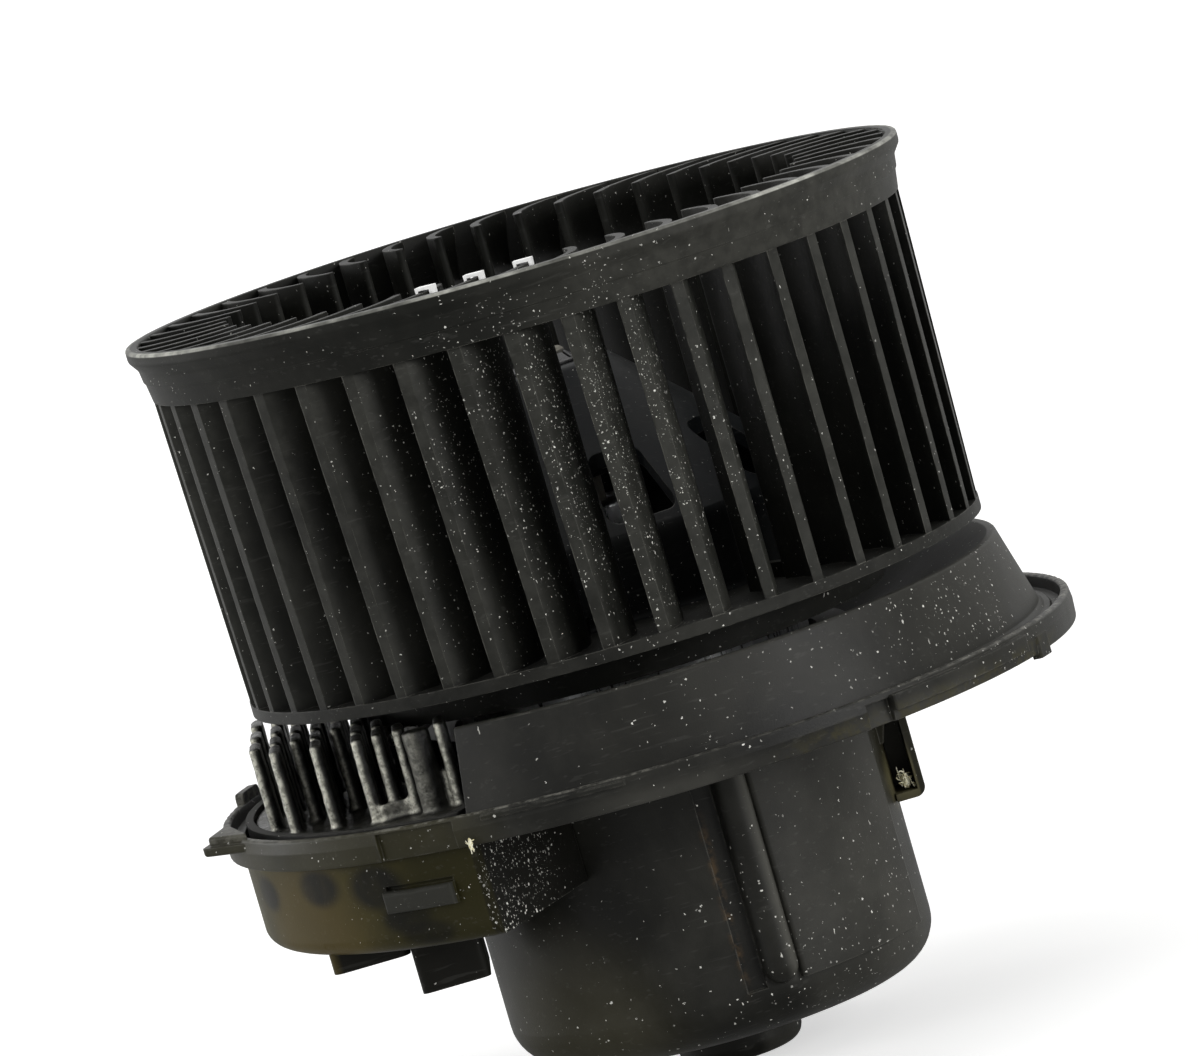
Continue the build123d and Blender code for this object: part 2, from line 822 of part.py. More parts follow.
def lip_nub():
    """Small stop under the lip."""
    inner = flange_radius - flange_lip_wall + 0.3
    return sector(inner, flange_radius + 0.3, lip_nub_azimuths, -flange_lip_drop - 0.9, 0, 0.5)


def retainer_bosses():
    """Bosses in the bowl's foot for the screws that hold the motor down."""
    outer = screw_head_radius
    post = Pos(*at(retainer_ear_circle, 0, bowl_foot - moulded_wall)) * extrude(
        Circle(outer), amount=cup_rim - bowl_foot + moulded_wall, dir=(0, 0, 1)
    )
    return [turned(post, azimuth) for azimuth in retainer_azimuths]


def busbar_slots(inner, outer, bottom, height):
    """Pair of slots on the left that the busbars pass through."""
    cutter = Box(outer - inner, busbar_width + 2 * assembly_gap, height)
    x = -(inner + outer) / 2
    return [Pos(x, side * busbar_spacing / 2, bottom + height / 2) * cutter for side in (-1, 1)]


def flange_housing():
    body = flange_section() - regulator_opening()
    ramps = [turned(lip_ramp(ramp_azimuths), start) for start in ramp_starts]
    gussets = [gusset(azimuth, rear_gusset_reach, gusset_height) for azimuth in rear_gusset_azimuths]
    gussets.append(gusset(side_gusset_azimuth, side_gusset_reach, gusset_height))
    extras = [
        cup_panel(), cup_rib(), catch(), front_rib(), tongue(), lip_lug(), lip_nub(),
        *ramps, *retainer_bosses(), *gussets, *collar_ends(),
    ]
    body = joined([body, *extras])
    bore = tube(cup_bore, 0, cup_inside_floor + cup_corner, cup_rim + 1)
    body = body - bore
    groove_floor = cup_radius - groove_depth
    groove = sector(groove_floor, cup_radius + 2, groove_azimuths, panel_bottom, -flange_plate - 0.1)
    notch = sector(flange_radius - notch_depth, flange_radius + 3, notch_azimuths, -flange_lip_drop - 1, 1.2)
    pilot = Pos(0, 0, bowl_foot - moulded_wall - 1) * extrude(
        Circle(screw_radius + press_fit), amount=cup_rim + 3, dir=(0, 0, 1)
    )
    pilots = [Pos(*at(retainer_ear_circle, azimuth)) * pilot for azimuth in retainer_azimuths]
    slots = busbar_slots(cup_bore - 2, cup_radius + 2, busbar_top - 1.0, busbar_sheet + 2.0)
    flat = sector(
        flange_radius - lip_flat_depth, flange_radius + 3, lip_flat_azimuths,
        -flange_lip_drop - 1, flange_lip_top - 0.6,
    )
    return body - [groove, notch, flat, *pilots, *slots]


# Motor

def motor_can():
    """Deep-drawn steel can, open at the bottom, with the upper bearing's boss."""
    boss_radius = bush_radius + 0.05 + bearing_boss_wall
    boss_top = upper_bush_top + 0.6 + bearing_boss_wall
    top_inside = can_top - can_wall
    can = turned_solid([
        (can_bore, can_bottom),
        (can_radius, can_bottom),
        (can_radius, can_top, can_corner),
        (boss_radius, can_top, 1.2),
        (boss_radius, boss_top, 1.2),
        (shaft_radius + 1.0, boss_top),
        (shaft_radius + 1.0, boss_top - bearing_boss_wall),
        (bush_radius + 0.05, boss_top - bearing_boss_wall),
        (bush_radius + 0.05, top_inside),
        (can_bore, top_inside, can_corner - can_wall),
    ])
    half = can_vent_angle / 2
    vent = sector(*can_vent_radii, (-half, half), top_inside - 1, can_top + 1, 2.0)
    notches = busbar_slots(can_bore - 2, can_radius + 2, card_heights[1] - 2, can_wall + 2.4)
    return can - around(vent, can_vents, 30.0) - notches


def bush(bottom):
    """Sintered bearing bush, tapered at both ends."""
    top = bottom + bush_height
    return turned_solid([
        (bearing_bore, bottom),
        (bush_radius - bush_taper, bottom),
        (bush_radius, bottom + bush_height / 3),
        (bush_radius, top - bush_height / 3),
        (bush_radius - bush_taper, top),
        (bearing_bore, top),
    ])


def star_washer(bottom, bore):
    """Sprung washer that presses a bush into its seat."""
    ring = tube(star_washer_radius, bore, bottom, bottom + star_washer_sheet)
    slot = Pos(0, -bore, bottom) * Box(1.2, 3.4, 4)
    return ring - around(slot, 8)


def end_cap():
    """Steel plate in the can's open end, with the lower bearing's boss."""
    boss_radius = bush_radius + 0.05 + bearing_boss_wall
    top = can_bottom + end_cap_wall
    boss_bottom = lower_bush_bottom - 1.6 - bearing_boss_wall
    return turned_solid([
        (0, boss_bottom),
        (boss_radius, boss_bottom, 1.2),
        (boss_radius, can_bottom),
        (can_bore - press_fit, can_bottom),
        (can_bore - press_fit, top),
        (bush_radius + 0.05, top),
        (bush_radius + 0.05, boss_bottom + bearing_boss_wall),
        (0, boss_bottom + bearing_boss_wall),
    ])


def magnet(azimuth):
    half = magnet_span / 2
    outer = magnet_radius + magnet_wall
    return sector(magnet_radius, outer, (azimuth - half, azimuth + half), *magnet_heights, 0.8)


def magnet_clips():
    """Bowed springs between the magnets' edges, against the can."""
    half = (180 - magnet_span) / 2 - 0.8
    outer = can_bore - 0.1
    inner = outer - magnet_clip_sheet
    length = 6.0
    bottom = (magnet_heights[0] + magnet_heights[1] - length) / 2
    legs = []
    for side in (-90, 90):
        strip = sector(inner, outer, (side - half, side + half), bottom, bottom + length)
        spans = ((side - half, side - half + 1.6), (side + half - 1.6, side + half))
        ends = [sector(inner - 3.0, outer, span, bottom, bottom + length) for span in spans]
        legs.append(joined([strip, *ends]))
    return Compound(children=legs)


def brush_card():
    """Moulded card above the end cap, with a shaft hole and posts for the chokes."""
    card = tube(card_radius, card_bore, *card_heights)
    feet_height = card_heights[0] - can_bottom - end_cap_wall
    foot = Pos(*at(card_radius - 4, 0, can_bottom + end_cap_wall)) * extrude(
        Circle(2.5), amount=feet_height + 0.5, dir=(0, 0, 1)
    )
    return joined([card, *around(foot, 3, 90.0)])


def brush_box(length, clearance, bottom, start):
    """Block the size of a brush with a clearance all round, pointing to the front."""
    width = brush_size[0] + 2 * clearance
    height = brush_size[2] + 2 * clearance
    return Pos(0, -(start + length / 2), bottom + height / 2) * Box(width, length, height)


def brush():
    bottom = brush_height - brush_size[2] / 2
    body = brush_box(brush_size[1] + 1.5, 0, bottom, brush_face - 1.5)
    return body - tube(brush_face, 0, bottom - 1, bottom + brush_size[2] + 1)


def brush_holder():
    """Brass box with a closed tail and a foot on the card."""
    bottom = brush_height - brush_size[2] / 2 - slide_fit
    shell = brush_box(holder_length, slide_fit + holder_wall, bottom - holder_wall, holder_start)
    bore = brush_box(holder_length, slide_fit, bottom, holder_start - holder_wall)
    foot_height = bottom - holder_wall - card_heights[1]
    foot = Pos(0, -(holder_start + holder_length / 2), card_heights[1] + foot_height / 2)
    foot = foot * Box(brush_size[0] * 0.7, holder_length * 0.7, foot_height)
    return shell - bore + foot


def brush_spring():
    """Compression coil between the brush's tail and the holder's closed end."""
    start = brush_tail + 0.1
    length = holder_end - holder_wall - 0.1 - start - 2 * spring_wire
    path = Helix(pitch=length / spring_turns, height=length, radius=spring_radius)
    profile = Plane(origin=path @ 0, z_dir=path % 0) * RegularPolygon(spring_wire, 6)
    coil = sweep(profile, path=path, is_frenet=True)
    return Pos(0, -(start + spring_wire), brush_height) * Rot(90, 0, 0) * coil


def chokes():
    """Two rod chokes lying on the card beside the brushes."""
    rod = Rot(90, 0, 0) * Cylinder(choke_radius, choke_length)
    height = card_heights[1] + choke_radius
    x, y = choke_place
    return Compound(children=[Pos(side * x, y, height) * rod for side in (-1, 1)])


def suppressor():
    x, y = choke_place
    return block(suppressor_size, (x - 1.0, -y), card_heights[1], 1.0)


def cup_isolator():
    gap = 0.05
    return tube(cup_bore - gap, can_radius + gap, isolator_top - isolator_height, isolator_top)


def floor_isolator():
    return tube(floor_isolator_radii[1], floor_isolator_radii[0], cup_inside_floor, can_bottom)


def retainer_ring():
    """Ring on the cup's rim with three ears, holding the upper rubber ring down."""
    top = cup_rim + retainer_ring_height
    ring = tube(cup_radius, retainer_ring_inner, cup_rim, top)
    tongue_ring = tube(cup_bore - assembly_gap, retainer_ring_inner, isolator_top, cup_rim + 0.5)
    ear = Pos(*at(retainer_ear_circle, 0, cup_rim)) * extrude(
        Circle(retainer_ear_radius), amount=retainer_ring_height, dir=(0, 0, 1)
    )
    bridge = Pos(0, -(cup_radius + retainer_ear_circle) / 2, cup_rim + retainer_ring_height / 2)
    bridge = bridge * Box(2 * retainer_ear_radius, retainer_ear_circle - cup_radius + 2, retainer_ring_height)
    hole = Pos(*at(retainer_ear_circle, 0, cup_rim + 1)) * Cylinder(screw_radius + 0.2, 6)
    ears = [turned(ear + bridge - hole, azimuth) for azimuth in retainer_azimuths]
    return joined([ring, tongue_ring, *ears])


def screw(length):
    """Pan-head screw, tip down, with the underside of its head at height 0."""
    body = turned_solid([
        (0, -length),
        (screw_radius * 0.5, -length),
        (screw_radius, -length + 1.4),
        (screw_radius, 0),
        (screw_head_radius, 0),
        (screw_head_radius, screw_head_height, 0.9),
        (0, screw_head_height),
    ])
    recess = lift(screw_head_height) * Box(screw_head_radius, 0.7, 1.6)
    return body - recess - Rot(0, 0, 90) * recess


def retainer_screws():
    head = cup_rim + retainer_ring_height
    length = head - bowl_foot + moulded_wall
    return Compound(children=[
        Pos(*at(retainer_ear_circle, azimuth, head)) * screw(length) for azimuth in retainer_azimuths
    ])


def busbars():
    """Two bent brass strips from the brush card, up beside the can, into the regulator."""
    foot = card_heights[1]
    sheet = busbar_sheet

    def leg(inner, outer, bottom, top, width=busbar_width):
        centre = Pos(-(inner + outer) / 2, 0, (bottom + top) / 2)
        return centre * Box(outer - inner, width, top - bottom)

    strip = joined([
        leg(card_radius - 4.0, busbar_rise + sheet, foot, foot + sheet),
        leg(busbar_rise, busbar_rise + sheet, foot, busbar_top + sheet),
        leg(busbar_rise, busbar_reach, busbar_top, busbar_top + sheet),
        leg(busbar_reach - sheet, busbar_reach, busbar_top, board_top + 1.2, busbar_width / 2),
    ])
    return Compound(children=[Pos(0, side * busbar_spacing / 2, 0) * strip for side in (-1, 1)])


# Regulator

def boss_places():
    return [at(boss_circle, azimuth) for azimuth in boss_azimuths]


def regulator_housing():
    """Tub under the flange with the plug shroud, screw bosses and a snap latch."""
    footprint = sector(tub_inner_radius, tub_radius + 1, regulator_azimuths, tub_bottom - 1, tub_top + 1)
    rounded = turned_solid([
        (tub_inner_radius, tub_bottom),
        (tub_radius, tub_bottom, tub_corner),
        (tub_radius, tub_top),
        (tub_inner_radius, tub_top),
    ])
    outer = rounded & footprint
    wall_angle = degrees(tub_wall / tub_inner_radius)
    hollow = sector(
        tub_inner_radius + tub_wall, tub_radius - tub_wall, shrunk(regulator_azimuths, wall_angle),
        tub_bottom + tub_floor, tub_top + 1, 1.0,
    )
    tub = outer - hollow
    shroud = block((*shroud_size, tub_bottom - shroud_bottom + 0.5), shroud_centre, shroud_bottom, 1.5)
    low_block = block((*block_size, block_drop + 0.5), block_centre, tub_bottom - block_drop, 2.0)
    latch = sector(
        tub_radius - 0.8, tub_radius + tub_latch_proud, tub_latch_azimuths,
        tub_latch_top - tub_latch_height, tub_latch_top,
    )
    outermost = latch.faces().filter_by(GeomType.CYLINDER).sort_by(SortBy.AREA)[-1]
    latch = fillet(outermost.edges(), tub_latch_round)
    latch_groove = sector(
        tub_radius - tub_latch_groove, tub_radius + tub_latch_proud, tub_latch_azimuths,
        tub_latch_top, tub_latch_top + tub_latch_groove,
    )
    boss = tube(boss_radius, 0, tub_bottom + 0.5, sink_bottom)
    counterbore = tube(screw_head_radius + 0.4, 0, tub_bottom - 1, tub_bottom + screw_head_height)
    bosses = [Pos(x, y) * boss for x, y, _ in boss_places()]
    body = joined([tub, shroud, low_block, latch, *bosses])
    socket = block(
        (shroud_size[0] - 2 * shroud_wall, shroud_size[1] - 2 * shroud_wall, tub_bottom - shroud_bottom),
        shroud_centre, shroud_bottom - 0.01, 0.8,
    )
    hole = tube(screw_radius + 0.2, 0, tub_bottom - 1, tub_top)
    holes = [Pos(x, y) * hole for x, y, _ in boss_places()]
    counterbores = [Pos(x, y) * counterbore for x, y, _ in boss_places()]
    pins = [
        Pos(x, y, tub_bottom) * Box(pin_size[0] + 0.1, pin_size[1] + 0.1, 8) for x, y in pin_places()
    ]
    slots = busbar_slots(
        cup_radius - 1, tub_inner_radius + tub_wall + 1, busbar_top - 1.0, busbar_sheet + 2.0
    )
    return body - [socket, latch_groove, *holes, *counterbores, *pins, *slots]


def sink_outline():
    return shrunk(regulator_azimuths, opening_margin + sink_margin)


def fin_column(column):
    """X of a column of fins and how far its outermost fins reach to the front and rear."""
    x = fin_first_column + column * fin_column_pitch
    outer, inner = abs(x) + fin_wall / 2, abs(x) - fin_wall / 2
    edge = sink_outer_radius - fin_edge_gap
    end_angle = -(sink_outline()[1] - fin_end_angle)
    reach = min((edge**2 - outer**2) ** 0.5, inner / tan(radians(end_angle)))
    post_x, post_y, _ = at(post_circle, post_azimuth)
    if abs(x - post_x) < post_radius + fin_wall / 2:
        reach = min(reach, abs(post_y) - post_radius)
    if column % 2:
        return x, min(reach, fin_front_sum - abs(x))
    if inner > skirt_radius + fin_clear_of_skirt:
        return x, min(reach, fin_second_row)
    return x, reach - fin_set_back


def fin_places():
    """Centres of the fins: columns with rows to the front and rear, kept off the fan's skirt."""
    places = []
    nearest = skirt_radius + fin_clear_of_skirt
    for column in range(fin_columns):
        x, reach = fin_column(column)
        y = reach - fin_length / 2
        rows = []
        while y >= fin_row_pitch / 2:
            rows += [-y, y]
            y -= fin_row_pitch
        if y >= 0:
            rows.append(0.0)
        for row in rows:
            corner = (abs(x) - fin_wall / 2, max(abs(row) - fin_length / 2, 0.0))
            if hypot(*corner) > nearest:
                places.append((x, row))
    return places


def heat_sink():
    """Die-cast plate with a staggered field of thick fins, one round post and low ties."""
    plate = sector(sink_inner_radius, sink_outer_radius, sink_outline(), sink_bottom, sink_plate_top, 2.5)
    fin = RectangleRounded(fin_wall, fin_length, fin_wall * 0.45)
    fin = extrude(fin, amount=fin_top - sink_plate_top + 0.5, dir=(0, 0, 1), taper=0.6)
    fin = fillet(fin.edges().group_by(Axis.Z)[-1], fin_round)
    fins = [Pos(x, y, sink_plate_top - 0.5) * fin for x, y in fin_places()]
    post = Circle(post_radius)
    post = extrude(post, amount=fin_top - sink_plate_top, dir=(0, 0, 1))
    post = fillet(post.edges().group_by(Axis.Z)[-1], fin_round)
    post = Pos(*at(post_circle, post_azimuth, sink_plate_top - 0.5)) * post
    tie_length = 2 * fin_column_pitch - fin_wall + 0.6
    tie_size = (tie_length, tie_wall, tie_height + 0.5)
    ties = [block(tie_size, place, sink_plate_top - 0.5) for place in tie_places]
    sink = joined([plate, *fins, post, *ties])
    pilot = tube(screw_radius + press_fit, 0, sink_bottom - 1, sink_plate_top - 1)
    return sink - [Pos(x, y) * pilot for x, y, _ in boss_places()]


def sink_seal():
    """Rubber band round the heat sink's plate."""
    gap = 0.1
    first = degrees((seal_wall + gap) / sink_inner_radius)
    outer = sector(
        sink_inner_radius - gap - seal_wall, sink_outer_radius + gap + seal_wall,
        shrunk(sink_outline(), -first), seal_top - seal_height, seal_top, 3.5,
    )
    inner_margin = -degrees(gap / sink_inner_radius)
    inner = sector(
        sink_inner_radius - gap, sink_outer_radius + gap, shrunk(sink_outline(), inner_margin),
        seal_top - seal_height - 1, seal_top + 1, 2.5,
    )
    return outer - inner


def circuit_board():
    board = sector(*board_radii, shrunk(regulator_azimuths, board_margin), board_bottom, board_top, 2.0)
    hole = tube(boss_radius + assembly_gap, 0, board_bottom - 1, board_top + 1)
    holes = [Pos(x, y) * hole for x, y, _ in boss_places()]
    tail_slots = [
        Pos(-(busbar_reach - busbar_sheet / 2), side * busbar_spacing / 2, board_bottom)
        * Box(busbar_sheet + 0.4, busbar_width / 2 + 0.4, 6)
        for side in (-1, 1)
    ]
    pin_hole = block((pin_size[0] + 0.2, pin_size[1] + 0.2, board_wall + 2), (0, 0), board_bottom - 1)
    return board - holes - tail_slots - [Pos(x, y) * pin_hole for x, y in pin_places()]


def transistor(azimuth):
    """Power transistor flat against the heat sink, with its legs down to the board."""
    width, length, height = transistor_size
    top = sink_bottom
    body = Pos(0, -transistor_circle, top - height / 2) * Box(width, length * 0.6, height)
    tab = Pos(0, -(transistor_circle + length * 0.38), top - transistor_tab / 2)
    tab = tab * Box(width, length * 0.24, transistor_tab)
    inner = transistor_circle - length * 0.3
    legs = []
    for k in range(leg_count):
        x = (k - (leg_count - 1) / 2) * leg_pitch
        level = top - height * 0.6
        run = Pos(x, -(inner - 1.5), level) * Box(leg_width, 4.0, 0.5)
        drop = Pos(x, -(inner - 3.3), (level + board_top) / 2) * Box(leg_width, 0.5, level - board_top + 0.5)
        legs += [run, drop]
    body = joined([body, tab, *legs])
    below = tube(tub_radius, 0, board_bottom - transistor_size[1], board_top)
    body = body - below
    return turned(body, azimuth)


def board_capacitor():
    can = turned_solid([
        (0, 0), (capacitor_radius, 0), (capacitor_radius, capacitor_height, 0.6), (0, capacitor_height),
    ])
    return Pos(*at(capacitor_circle, capacitor_azimuth, board_top)) * can


def pin_places():
    x, y = shroud_centre
    return [(x, y + (k - (pin_count - 1) / 2) * pin_pitch) for k in range(pin_count)]


def plug_pins():
    bottom = tub_bottom - pin_below_floor
    height = board_top + 1.0 - bottom
    pin = block((*pin_size, height), (0, 0), bottom)
    return Compound(children=[Pos(x, y, 0) * pin for x, y in pin_places()])


def regulator_screws():
    head = tub_bottom + screw_head_height
    length = sink_bottom + sink_plate - 1.5 - head
    upright = Rot(180, 0, 0) * screw(length)
    return Compound(children=[Pos(x, y, head) * upright for x, y, _ in boss_places()])


nodes = {
    "fan_wheel": fan_wheel,
    "balance_clips": balance_clips,
    "fan_push_nut": push_nut,
    "motor_shaft": motor_shaft,
    "thrust_washers": thrust_washers,
    "armature_core": armature_core,
    "armature_winding": armature_winding,
    "commutator": commutator,
    "flange_housing": flange_housing,
    "motor_retainer_ring": retainer_ring,
    "retainer_screws": retainer_screws,
    "cup_isolator": cup_isolator,
    "floor_isolator": floor_isolator,
    "motor_can": motor_can,
    "motor_end_cap": end_cap,
    "magnet_front": lambda: magnet(0),
    "magnet_rear": lambda: magnet(180),
    "magnet_clips": magnet_clips,
    "bearing_upper": lambda: bush(upper_bush_bottom),
    "bearing_lower": lambda: bush(lower_bush_bottom),
    "bearing_washer_upper": lambda: star_washer(
        upper_bush_bottom - 0.4 - star_washer_sheet, thrust_washer_radius + 0.4
    ),
    "brush_card": brush_card,
    "brush_holder_front": brush_holder,
    "brush_holder_rear": lambda: turned(brush_holder(), 180),
    "brush_front": brush,
    "brush_rear": lambda: turned(brush(), 180),
    "brush_spring_front": brush_spring,
    "brush_spring_rear": lambda: turned(brush_spring(), 180),
    "suppressor_chokes": chokes,
    "suppressor_capacitor": suppressor,
    "motor_busbars": busbars,
    "regulator_housing": regulator_housing,
    "heat_sink": heat_sink,
    "heat_sink_seal": sink_seal,
    "circuit_board": circuit_board,
    "power_transistor_front": lambda: transistor(transistor_azimuths[0]),
    "power_transistor_rear": lambda: transistor(transistor_azimuths[1]),
    "board_capacitor": board_capacitor,
    "plug_pins": plug_pins,
    "regulator_screws": regulator_screws,
}

os.makedirs("parts", exist_ok=True)
for name, make in nodes.items():
    export_step(make(), f"parts/{name}.step")
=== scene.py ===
import json
import math
import random

import bpy
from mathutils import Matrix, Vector


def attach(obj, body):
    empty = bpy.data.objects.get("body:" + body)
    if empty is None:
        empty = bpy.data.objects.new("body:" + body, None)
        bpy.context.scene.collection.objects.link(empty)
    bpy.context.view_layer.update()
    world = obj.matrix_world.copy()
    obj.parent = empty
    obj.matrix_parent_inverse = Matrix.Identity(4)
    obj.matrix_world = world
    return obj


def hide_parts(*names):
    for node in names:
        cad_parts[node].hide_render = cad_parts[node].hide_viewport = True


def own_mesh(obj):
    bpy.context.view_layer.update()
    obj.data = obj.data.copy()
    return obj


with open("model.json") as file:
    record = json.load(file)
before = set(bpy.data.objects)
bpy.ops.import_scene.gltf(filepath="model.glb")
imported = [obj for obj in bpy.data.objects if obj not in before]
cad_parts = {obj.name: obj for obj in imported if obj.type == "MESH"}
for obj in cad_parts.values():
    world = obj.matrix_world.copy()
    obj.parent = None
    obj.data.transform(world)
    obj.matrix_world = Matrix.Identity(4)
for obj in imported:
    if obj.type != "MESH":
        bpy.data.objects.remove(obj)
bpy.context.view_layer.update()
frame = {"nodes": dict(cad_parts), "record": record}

# Car cabin blower motor. Metres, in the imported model's frame: the fan turns about Z, the
# seating floor of the flange is at Z 0, -Y is the front and -X carries the regulator.

random.seed(11)

# Camera of the photograph
CAMERA_PLACE = (0.0, -1.49344, 0.21075)
CAMERA_TURN = (83.0879, 16.0153, -1.9610)
CAMERA_LENS = 240.0
SENSOR_WIDTH = 36.0
CAMERA_CLIP = (0.1, 50.0)

# Floor and light
FLOOR_HEIGHT = -0.0667
FLOOR_RADIUS = 8.0
FLOOR_GREY = (0.90, 0.90, 0.89)
FLOOR_PALE = (0.93, 0.93, 0.92)
FLOOR_GLOW = 0.55
ROOM_LIGHT = 0.32
WHITE_LIGHT = (1.0, 1.0, 1.0, 1.0)

# Dust and dirt, and a dust-film grey that also paints sheen and highlights
DUST_WHITE = (0.86, 0.85, 0.79)
# Grey of the dust film, also laid on as painted sheen and painted highlights on the fan's band and on
# the cup
FILM_AND_SHEEN_GREY = (0.40, 0.39, 0.34)
DRY_DIRT = (0.17, 0.145, 0.085)
GROOVE_DIRT = (0.115, 0.070, 0.030)
LINT_YELLOW = (0.66, 0.58, 0.28)
LINT_PALE = (0.98, 0.95, 0.74)

# Black mouldings
DEEP_SHADE = (0.004, 0.004, 0.0035)
FOOT_SHADE = (0.003, 0.003, 0.003)
GROOVE_SHADE = (0.003, 0.003, 0.0025)
# Painted shade with a cold tint for the fan's hub
HUB_COLD_SHADE = (0.0035, 0.0046, 0.0058)
# Dust grey with painted sheen for the blades' outer edges
EDGE_DUST_AND_SHEEN = (0.085, 0.085, 0.075)
# Pale of a worn rim that also carries a painted highlight
RIM_WEAR_AND_SHEEN = (0.62, 0.62, 0.56)
LATCH_GREY = (0.032, 0.032, 0.027)
LIP_OLIVE = (0.023, 0.020, 0.002)
# Olive tint of the catch's pocket, brightened as painted light
POCKET_TINT_AND_LIGHT = (0.240, 0.215, 0.110)
TUB_OLIVE = (0.048, 0.041, 0.009)
TUB_RUST = (0.072, 0.052, 0.013)
TUB_SHADE = (0.014, 0.0135, 0.004)
TUB_BLOT = (0.006, 0.006, 0.004)

# Metals and the board
CASTING_DARK = (0.010, 0.010, 0.008)
CASTING_PALE = (0.050, 0.049, 0.041)
CASTING_SHADE = (0.004, 0.004, 0.004)
# Bright metal of rubbed edges, also painted as highlight on the fin noses
CASTING_WORN_AND_SHEEN = (0.62, 0.61, 0.52)
CLIP_DULL = (0.93, 0.93, 0.91)
CLIP_BRIGHT = (0.99, 0.99, 0.98)
CLIP_SHADE = (0.010, 0.010, 0.010)
NO_GLOW = (0.0, 0.0, 0.0)
WIRE_GAP = (0.10, 0.025, 0.010)
WIRE_COPPER = (0.62, 0.22, 0.08)
WIRE_TARNISH = (0.30, 0.08, 0.03)
SHEET_GAP = (0.10, 0.10, 0.105)
SHEET_STEEL = (0.34, 0.34, 0.35)
SHEET_RUST = (0.16, 0.07, 0.03)
BOARD_RUNS = (0.040, 0.19, 0.075)
BOARD_GREEN = (0.018, 0.11, 0.040)
BOARD_STAIN = (0.10, 0.12, 0.05)

# Relief and how strongly a layer shows
GRAIN_RAGGEDNESS = 0.0006
MOULDED_RELIEF = 0.10
VEIL_SHARE = 0.10
METAL_VEIL_SHARE = 0.5
RUBBED_EDGE_SHARE = 0.38
SCRATCH_SHARE = 0.03
# Strength of the painted glow on the clips' open faces
CLIP_GLOW = 0.25

# The tub's wall: radius in mm, and blots as azimuth in degrees and height in mm, then half
# width and half height in mm
TUB_RADIUS = 80.3
TUB_BLOTS = (
    ((-56.2, -7.4), (6.5, 3.6)), ((-44.3, -8.2), (6.8, 4.4)), ((-40.5, -14.6), (6.0, 3.2)),
    ((-37.5, -18.0), (6.0, 2.4)), ((-73.0, -9.0), (6.0, 3.4)), ((-92.0, -10.0), (5.5, 3.6)),
)

# Radii in metres where a mask goes from 0, off the motor cup, to 1 on it
CUP_WALL = (0.047, 0.044)
CUP_SIDE = (0.050, 0.046)

# Places in mm, each with the reach of what is there
TUB_RUST_SPOT = ((-70.0, -38.0, -19.0), 26.0)
SIDE_DUST_SPOT = ((-33.0, -62.0, -12.0), 25.0)
COLLAR_MIDDLE = ((21.0, -72.0, 11.0), 38.0)
CUP_LEFT = ((-30.0, -28.0, -52.0), 30.0)
CATCH_SIDE = ((45.0, -6.0, -18.0), 17.0)
CATCH_POCKET = ((43.4, -6.5, -23.0), 8.0)

# Dusty places: centre and reach in mm, and the share of grains that is added
FAN_CROWDS = (
    ((-2.0, -73.0, 66.0), 42.0, 0.26), ((22.0, -68.0, 60.0), 34.0, 0.16),
    ((-3.0, -72.0, 34.0), 34.0, 0.20), ((6.0, -73.0, 88.0), 34.0, 0.16),
)
HOUSING_CROWDS = (
    ((60.0, -46.0, 8.0), 30.0, 0.16), ((30.0, -74.0, 8.0), 34.0, 0.05),
    ((-32.0, -26.0, -18.0), 20.0, 0.20), ((28.0, -31.0, -34.0), 30.0, 0.20),
    ((16.0, -36.0, -52.0), 22.0, 0.22), ((-6.0, -41.0, -60.0), 16.0, 0.08),
)

# The heat sink's casting: the screw post, the light side and the side in shade
POST_CENTRE = (-0.0415, -0.0517, 0.0)
WORN_AND_LIT_SIDE = (-0.62, -0.75, 0.22)
SHADY_SIDE = (0.85, -0.50, 0.0)
CASTING_MERGE = 1e-6
CASTING_VOXEL = 0.0005
CASTING_LUMPS = 0.00030

# Strands of lint, in mm: how far they start from the middle of their clump as a share of its
# size, how far their heading wanders, the length of a step and the range of their radius
STRAND_SPREAD = 0.45
STRAND_WANDER = 0.42
STRAND_STEP = 0.42
STRAND_RADII = (0.08, 0.15)

# Nodes whose finish isn't the one of their material slot
OWN_FINISH = {"fan_push_nut": "blued_steel", "motor_shaft": "oiled_steel"}


# Node helpers

def feed(tree, node, inputs):
    """Sets a node's inputs to values or links them to sockets."""
    for key, value in inputs.items():
        if isinstance(value, bpy.types.NodeSocket):
            tree.links.new(value, node.inputs[key])
        else:
            node.inputs[key].default_value = value
    return node


def add(tree, kind, inputs, **settings):
    made = tree.nodes.new(kind)
    for key, value in settings.items():
        setattr(made, key, value)
    return feed(tree, made, inputs)


def maths(tree, operation, first, second=0.0, clamp=False):
    made = add(tree, "ShaderNodeMath", {0: first, 1: second}, operation=operation, use_clamp=clamp)
    return made.outputs[0]


def times(tree, first, *others):
    """The product of several masks or shares."""
    for other in others:
        first = maths(tree, "MULTIPLY", first, other)
    return first


def fitted(tree, value, factor, offset):
    made = add(tree, "ShaderNodeMath", {0: value, 1: factor, 2: offset}, operation="MULTIPLY_ADD")
    return made.outputs[0]


def spread(tree, value, low, high, out_low=0.0, out_high=1.0):
    """Goes smoothly from one result at the first limit to the other at the second."""
    made = add(tree, "ShaderNodeMapRange", {
        "Value": value, "From Min": low, "From Max": high, "To Min": out_low, "To Max": out_high,
    }, interpolation_type="SMOOTHSTEP")
    return made.outputs["Result"]


